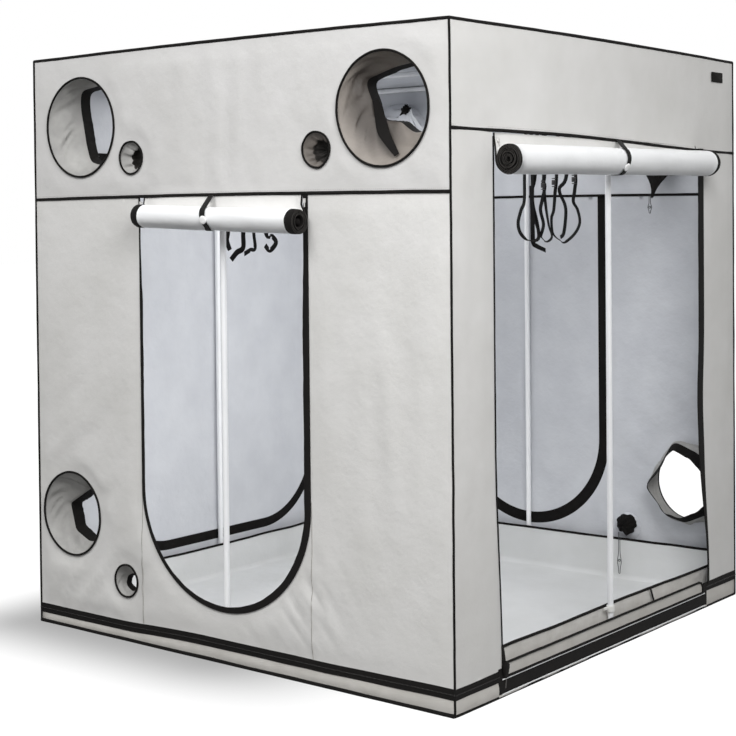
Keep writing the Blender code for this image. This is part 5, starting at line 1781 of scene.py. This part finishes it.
def makeRollStrap(name, wall, top, centreOut, centreZ, node, body):
    own = rolls[wall]
    reach = own["radius"] * (1 - rolls["pinch"] * 0.8) + rolls["sheet"] / 2 + snap["loose"]
    start = Vector((0.003, top - 0.0003))
    rise = rollRise(wall, own["strapFoot"])
    off = start - Vector((centreOut, centreZ + rise))
    first = math.atan2(off.y, -off.x) + math.acos(min(reach / off.length, 1.0))
    path = [(start.x, start.y, own["strapTop"])]
    last = math.tau
    steps = 44
    for i in range(steps + 1):
        angle = first + (last - first) * i / steps
        share = own["strapRun"] + (1 - own["strapRun"]) * min(i / (steps / 2), 1.0)
        s = own["strapTop"] + (own["strapSnap"] - own["strapTop"]) * share
        s += (own["strapFoot"] - own["strapSnap"]) * ease((i / steps - 0.38) / 0.25)
        path.append((centreOut - reach * math.cos(angle), centreZ + rise + reach * math.sin(angle), s))
    behind = -(rolls["sheet"] + snap["loose"])
    for i in range(1, 9):
        soft = ease(i / 8)
        out = centreOut - reach + (behind - centreOut + reach) * soft
        path.append((out, centreZ + rise + (top - centreZ - rise - 0.0003) * i / 8, own["strapFoot"]))
    patch = Patchwork()
    along = onWall(wall, 1, 0) - onWall(wall, 0, 0)
    points = [onWall(wall, s, z, out) for out, z, s in path]
    flatRibbon(patch, points, along, snap["webbing"], snap["thick"])
    settle(patch.make(name, ["polyWebbing"]), body, node)

    level = centreZ + rise - own["snap"] * own["radius"]
    out, z, s = min(path[steps // 4:],
                    key=lambda spot: abs(spot[1] - level) + (1.0 if spot[0] < centreOut else 0.0))
    tip = (Vector((out, z)) - Vector((centreOut, centreZ + rise))).normalized()
    outward = outwardOf(wall) * tip.x + Vector((0, 0, tip.y))
    up = Vector((0, 0, tip.x)) - outwardOf(wall) * tip.y
    middle = onWall(wall, s, z, out) + outward * snap["thick"] / 2
    profile = ((0.35, 0.97), (0.62, 0.88), (0.82, 0.70), (0.94, 0.42), (1.0, 0.0), (1.0, -0.25))
    rings, uvRows = [], []
    for share, height in profile:
        rings.append([middle + outward * snap["dome"] * height + snap["radius"] * share
                      * (along * math.cos(a) * 1.15 + up * math.sin(a)) for a in turnsOf(32)])
        uvRows.append([(k * 0.002, share * 0.01) for k in range(33)])
    patch = Patchwork()
    patch.grid(rings, uvRows, loop=True, flip=True)
    patch.fan(rings[0])
    patch.fan(rings[-1], flip=True)
    settle(patch.make(name + "Snap", ["enamelCap"]), body)


def makeRolls():
    jobs = (("front", frontSeam, frontSeam - uDoor["foot"], uDoor["half"], "front_door"),
            ("right", sideSeam, sideSeam - bandTop, gate["sillCorner"], "right_door"))
    for wall, level, length, footRadius, body in jobs:
        top = max(seamAt(wall, 0.0), level) + 0.001
        centreOut, centreZ = makeRoll(wall + "DoorRoll", wall, top, length, footRadius, body + "_roll",
                                      body)
        makeRollStrap(wall + "RollStrap", wall, top, centreOut, centreZ, wall + "_roll_strap", body)


makeRolls()
print("doors rolled up")


# Hanging straps: webbing looped up under each roof bar, with ladder buckles

straps = {
    "width": 0.023, "thick": 0.0016, "wrap": 0.0125, "barZ": 2.1855,
    "free": 2.12, "lowest": 1.38,  # a strap hangs freely below the one and ends at the other
    "sway": 0.013, "apart": 0.004,
    "frontTurn": 0.0, "backTurn": -0.42,
    "frontTop": (-0.573, -0.511, -0.449, -0.387),
    "backTop": (0.435, 0.510, 0.585),
    "frontBuckles": ((-0.594, 1.63), (-0.521, 1.63), (-0.455, 1.62), (-0.398, 1.64)),
    "backBuckles": ((0.503, 1.70), (0.553, 1.71), (0.645, 1.72)),
    # Routes in the bar's plane, (x, z), from under the wrap to the tail
    "front": [
        [(-0.573, 2.17), (-0.580, 1.90), (-0.592, 1.66), (-0.596, 1.53), (-0.603, 1.49), (-0.587, 1.45)],
        [(-0.511, 2.17), (-0.515, 1.88), (-0.521, 1.66), (-0.521, 1.52), (-0.519, 1.46), (-0.553, 1.44),
         (-0.584, 1.41)],
        [(-0.449, 2.17), (-0.452, 1.86), (-0.455, 1.64), (-0.455, 1.52), (-0.453, 1.46), (-0.480, 1.45),
         (-0.514, 1.435)],
        [(-0.387, 2.17), (-0.392, 1.90), (-0.398, 1.66), (-0.396, 1.52), (-0.362, 1.505), (-0.344, 1.48),
         (-0.378, 1.45), (-0.403, 1.47)],
    ],
    "back": [
        [(0.435, 2.17), (0.425, 1.95), (0.419, 1.75), (0.412, 1.64), (0.394, 1.60), (0.380, 1.55),
         (0.393, 1.508), (0.430, 1.482), (0.478, 1.488), (0.470, 1.55), (0.452, 1.63), (0.455, 1.72),
         (0.450, 1.90), (0.440, 2.17)],
        [(0.500, 2.17), (0.480, 1.95), (0.466, 1.74), (0.446, 1.67), (0.453, 1.58), (0.465, 1.54),
         (0.482, 1.503), (0.512, 1.477), (0.539, 1.493), (0.524, 1.54), (0.511, 1.616), (0.506, 1.72),
         (0.515, 1.95), (0.512, 2.17)],
        [(0.510, 2.17), (0.500, 1.95), (0.507, 1.74), (0.498, 1.718), (0.509, 1.696), (0.495, 1.636),
         (0.488, 1.60), (0.501, 1.549), (0.496, 1.52), (0.485, 1.493)],
        [(0.440, 1.70), (0.446, 1.60), (0.447, 1.52), (0.449, 1.471), (0.467, 1.456), (0.507, 1.440)],
        [(0.580, 2.17), (0.570, 1.95), (0.559, 1.738), (0.549, 1.67), (0.541, 1.60), (0.531, 1.57),
         (0.533, 1.527), (0.542, 1.503), (0.567, 1.483), (0.595, 1.474), (0.639, 1.507), (0.661, 1.55),
         (0.651, 1.60), (0.632, 1.634), (0.640, 1.68), (0.645, 1.75), (0.610, 1.95), (0.590, 2.17)],
        [(0.596, 2.17), (0.601, 1.95), (0.601, 1.738), (0.568, 1.683), (0.594, 1.622), (0.598, 1.579),
         (0.588, 1.51), (0.572, 1.492)],
    ],
}


buckle = {
    "size": (0.027, 0.020, 0.0048), "barRise": 0.016, "barSpots": (-0.0125, -0.005, 0.005, 0.0125),
    "barRadius": 0.0022,
}


def makeStraps(label, body, node, seed):
    low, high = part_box("roof_bar_" + label)
    y = (low[1] + high[1]) / 2
    wrap, barZ, width, thick = (straps[key] for key in ("wrap", "barZ", "width", "thick"))
    patch = Patchwork()
    for index, route in enumerate(straps[label]):
        points, ways = [], []
        for spot in smoothLine([Vector((x, 0, z)) for x, z in route], 7):
            drop = max(straps["free"] - spot.z, 0)
            sway = straps["sway"] * wander(spot.z * 3.5, index * 3.0 + seed) * ease(drop / 0.2)
            depth = y + straps["apart"] * (index - 1.5) * ease(drop / 0.3) + sway
            points.append(Vector((spot.x, depth, max(spot.z, straps["lowest"]))))
            turned = straps[label + "Turn"] + 0.5 * wander(spot.z * 3.0, index * 5.0 + seed + 9)
            twist = turned * ease(drop / 0.30)
            ways.append(Vector((math.cos(twist), math.sin(twist), 0.35 * math.sin(twist))))
        flatRibbon(patch, points, ways, width, thick)
    tops = straps[label + "Top"]
    for x in tops:
        ring = [Vector((x, y + wrap * math.sin(a), barZ + wrap * math.cos(a)))
                for a in turnsOf(24, closed=True)]
        flatRibbon(patch, ring, (1, 0, 0), width * 1.1, thick * 0.9)
    link = [Vector((x, y, barZ - wrap - 0.002)) for x in spaced(tops[0], tops[-1], 12)]
    flatRibbon(patch, link, (0, 1, 0), width * 0.5, thick)
    settle(patch.make("straps_" + label, ["polyWebbing"]), body, node)

    # Ladder buckles: a flat body with a bar above and below, one on each strap
    patch = Patchwork()
    for index, (x, z) in enumerate(straps[label + "Buckles"]):
        lean = straps[label + "Turn"] + 0.25 * wander(index * 3.1, seed)
        across = Vector((math.cos(lean), math.sin(lean), 0))
        face = Vector((math.sin(lean), -math.cos(lean), 0))
        middle = Vector((x, y - 0.003, z))
        roundedBox(patch, middle, buckle["size"], (across, Vector((0, 0, 1)), face), 0.0012)
        for rise in (-buckle["barRise"], buckle["barRise"]):
            ends = [middle + Vector((0, 0, rise)) + across * side for side in buckle["barSpots"]]
            tubeAlong(patch, ends, buckle["barRadius"], sides=8)
    settle(patch.make("buckles_" + label, ["blackAcetal"]), body)


makeStraps("front", "front_straps", "strap_bundle_front", 1.0)
makeStraps("back", "back_straps", "strap_bundle_back", 6.0)
print("straps hung")


# Small parts: the bare tab, a rail clip, ties and the wide door's upper slider

small = {
    "tabLow": (0.795, 2.110), "tabHigh": (0.893, 2.150), "tabThick": 0.0022, "tabProud": 0.006,
    "clipZ": 0.139, "clipRadius": 0.0135, "clipHigh": 0.026, "clipThick": 0.0034,
    "clipTab": (0.036, 0.012, 0.0040),
    "clipTie": ((0.966, 0.009, 0.129), (0.9665, 0.009, 0.110), (0.966, 0.010, 0.092)),
    "trayTie": ((0.976, 0.320, 0.153), (0.9765, 0.333, 0.126), (0.976, 0.347, 0.098)),
    "slider": (-0.739, 1.827, 0.004), "sliderSize": (0.012, 0.016, 0.005),
}


def makeSmallParts():
    right, up, out = axes = (onWall("right", 1, 0) - onWall("right", 0, 0), Vector((0, 0, 1)),
                             outwardOf("right"))
    (s0, z0), (s1, z1) = small["tabLow"], small["tabHigh"]
    patch = Patchwork()
    middle = onWall("right", (s0 + s1) / 2, (z0 + z1) / 2, small["tabProud"])
    roundedBox(patch, middle, (s1 - s0, z1 - z0, small["tabThick"]), axes, 0.0009)
    settle(patch.make("plainTab", ["nylonTape"]), "tent")

    patch = Patchwork()
    low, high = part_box("mid_post_right")
    x, y = (low[0] + high[0]) / 2, (low[1] + high[1]) / 2
    radius = small["clipRadius"]
    ring = [Vector((x + radius * math.cos(a), y + radius * math.sin(a), small["clipZ"] + 0.004))
            for a in turnsOf(28, closed=True)]
    flatRibbon(patch, ring, (0, 0, 1), small["clipHigh"], small["clipThick"])
    tabAt = Vector((x - 0.002, y - 0.026, small["clipZ"] + 0.008))
    roundedBox(patch, tabAt, small["clipTab"],
               (Vector((0, 1, 0)), Vector((0, 0, 1)), Vector((1, 0, 0))), 0.0012)
    settle(patch.make("railClip", ["mouldedNylon"]), "tent")

    for name, steps, width, thick, look in (("clipTie", 4, 0.005, 0.0016, "seamThread"),
                                            ("trayTie", 5, 0.010, 0.0018, "polyWebbing")):
        patch = Patchwork()
        flatRibbon(patch, smoothLine(small[name], steps), (0, 1, 0), width, thick)
        settle(patch.make(name, [look]), "tent")

    patch = Patchwork()
    slider = onWall("right", *small["slider"])
    roundedBox(patch, slider, small["sliderSize"], axes, 0.0012)
    pull = [slider + out * 0.003 + up * -0.008 * k + right * 0.003 * math.sin(k) for k in range(6)]
    flatRibbon(patch, pull, right, 0.006, 0.0018)
    settle(patch.make("topSlider", ["nickelPlate"]), "tent")


makeSmallParts()


# Carried-over solids: the frame, its corner pieces and the zip sliders

frameLooks = {
    "corner_post": "powderCoatSteel", "bottom_rail": "powderCoatSteel", "top_rail": "powderCoatSteel",
    "mid_post": "powderCoatSteel", "roof_bar": "powderCoatSteel", "top_corner": "mouldedNylon",
    "bottom_corner": "mouldedNylon", "zip_slider_right": "lacqueredZinc", "zip_slider_front": "nickelPlate",
}


def dressFrame():
    for name, obj in frame["nodes"].items():
        for start, look in frameLooks.items():
            if name.startswith(start):
                for slot in obj.material_slots:
                    slot.material = materials[look]


dressFrame()
print("frame dressed")


# Floor, world and lamps

light = {
    "ambient": 0.44, "ambientColour": "#FFFFFF",
    "floorSize": 40.0, "floorColour": "#404040", "floorGlow": 0.98,
    # The soft shade on the floor beside the tent's left foot: its depth, how far it reaches, and between
    # which x it fades out to the right
    "shade": 0.62, "shadeReach": 0.52, "shadeFrom": 0.75, "shadeFull": -0.1,
}
# Place, what it looks at, width in metres, watts
lamps = {
    "front": ((-0.1, -5.2, 6.2), (0.0, -1.0, 1.1), 2.4, 216.0),
    "side": ((3.8, -2.8, 3.7), (1.0, -0.4, 1.4), 2.2, 152.0),
    "roof": ((0.0, 0.0, 2.10), (0.0, 0.001, 0.0), 1.7, 15.0),
    "room": ((-0.15, -0.05, 0.95), (-1.0, -0.05, 0.95), 1.3, 5.5),
}


def seenDirectly(tree, more=()):
    # 1 for rays from the camera and from glossy surfaces, and for any other kind named
    path = addNode(tree, "ShaderNodeLightPath").outputs
    seen = path["Is Camera Ray"]
    for kind in ("Is Glossy Ray", *more):
        seen = addNode(tree, "ShaderNodeMath", {"operation": "MAXIMUM"}, {0: seen, 1: path[kind]})
        seen = seen.outputs["Value"]
    return seen


def makeFloor():
    # A floor that the camera sees as pale paper, with a painted shade at the tent's foot
    size = light["floorSize"]
    mesh = bpy.data.meshes.new("floor")
    mesh.from_pydata([(-size, -size, 0), (size, -size, 0), (size, size, 0), (-size, size, 0)], [],
                     [(0, 1, 2, 3)])
    floor = bpy.data.objects.new("floor", mesh)
    scene.collection.objects.link(floor)
    material, tree, shader = newMaterial("paleFloor", Base_Color=light["floorColour"], Roughness=0.9)
    seen = seenDirectly(tree)
    place = addNode(tree, "ShaderNodeTexCoord").outputs["Object"]
    folded = addNode(tree, "ShaderNodeVectorMath", {"operation": "ABSOLUTE"}, {0: place})
    past = addNode(tree, "ShaderNodeVectorMath", {"operation": "SUBTRACT", 1: (halfX, halfY, 0)},
                   {0: folded.outputs["Vector"]})
    beside = addNode(tree, "ShaderNodeVectorMath", {"operation": "MAXIMUM", 1: (0, 0, 0)},
                     {0: past.outputs["Vector"]})
    away = addNode(tree, "ShaderNodeVectorMath", {"operation": "LENGTH"}, {0: beside.outputs["Vector"]})
    near = addNode(tree, "ShaderNodeMapRange",
                   {"interpolation_type": "SMOOTHSTEP", "From Min": light["shadeReach"], "From Max": 0.0,
                    "To Max": light["shade"]}, {"Value": away.outputs["Value"]})
    sides = addNode(tree, "ShaderNodeSeparateXYZ", links={"Vector": place})
    leftward = addNode(tree, "ShaderNodeMapRange",
                       {"interpolation_type": "SMOOTHSTEP", "From Min": light["shadeFrom"],
                        "From Max": light["shadeFull"]}, {"Value": sides.outputs["X"]})
    shade = addNode(tree, "ShaderNodeMath", {"operation": "MULTIPLY"},
                    {0: near.outputs["Result"], 1: leftward.outputs["Result"]})
    left = addNode(tree, "ShaderNodeMath", {"operation": "SUBTRACT", 0: light["floorGlow"]},
                   {1: shade.outputs["Value"]})
    glow = addNode(tree, "ShaderNodeMath", {"operation": "MULTIPLY"}, {0: seen, 1: left.outputs["Value"]})
    glowing = addNode(tree, "ShaderNodeEmission", links={"Strength": glow.outputs["Value"]})
    both = addNode(tree, "ShaderNodeAddShader",
                   links={0: shader.outputs["BSDF"], 1: glowing.outputs["Emission"]})
    tree.links.new(both.outputs["Shader"], tree.nodes["Material Output"].inputs["Surface"])
    mesh.materials.append(material)


def makeWorld():
    # White where it is looked at, dimmer as a light
    world = bpy.data.worlds.new("studio")
    scene.world = world
    world.use_nodes = True
    tree = world.node_tree
    back = tree.nodes["Background"]
    back.inputs["Color"].default_value = toLinear(light["ambientColour"])
    seen = seenDirectly(tree, ["Is Transmission Ray"])
    level = addNode(tree, "ShaderNodeMapRange", {"To Min": light["ambient"], "To Max": 1.0},
                    {"Value": seen})
    tree.links.new(level.outputs["Result"], back.inputs["Strength"])


def makeLamps():
    for name, (place, aim, size, watts) in lamps.items():
        data = bpy.data.lights.new(name, "AREA")
        data.energy = watts
        data.size = size
        lamp = bpy.data.objects.new(name, data)
        scene.collection.objects.link(lamp)
        lamp.location = place
        lamp.visible_camera = False
        lamp.rotation_euler = (Vector(aim) - Vector(place)).to_track_quat("-Z", "Y").to_euler()


makeFloor()
makeWorld()
makeLamps()
print("stage set")
scene.view_settings.view_transform = "Standard"
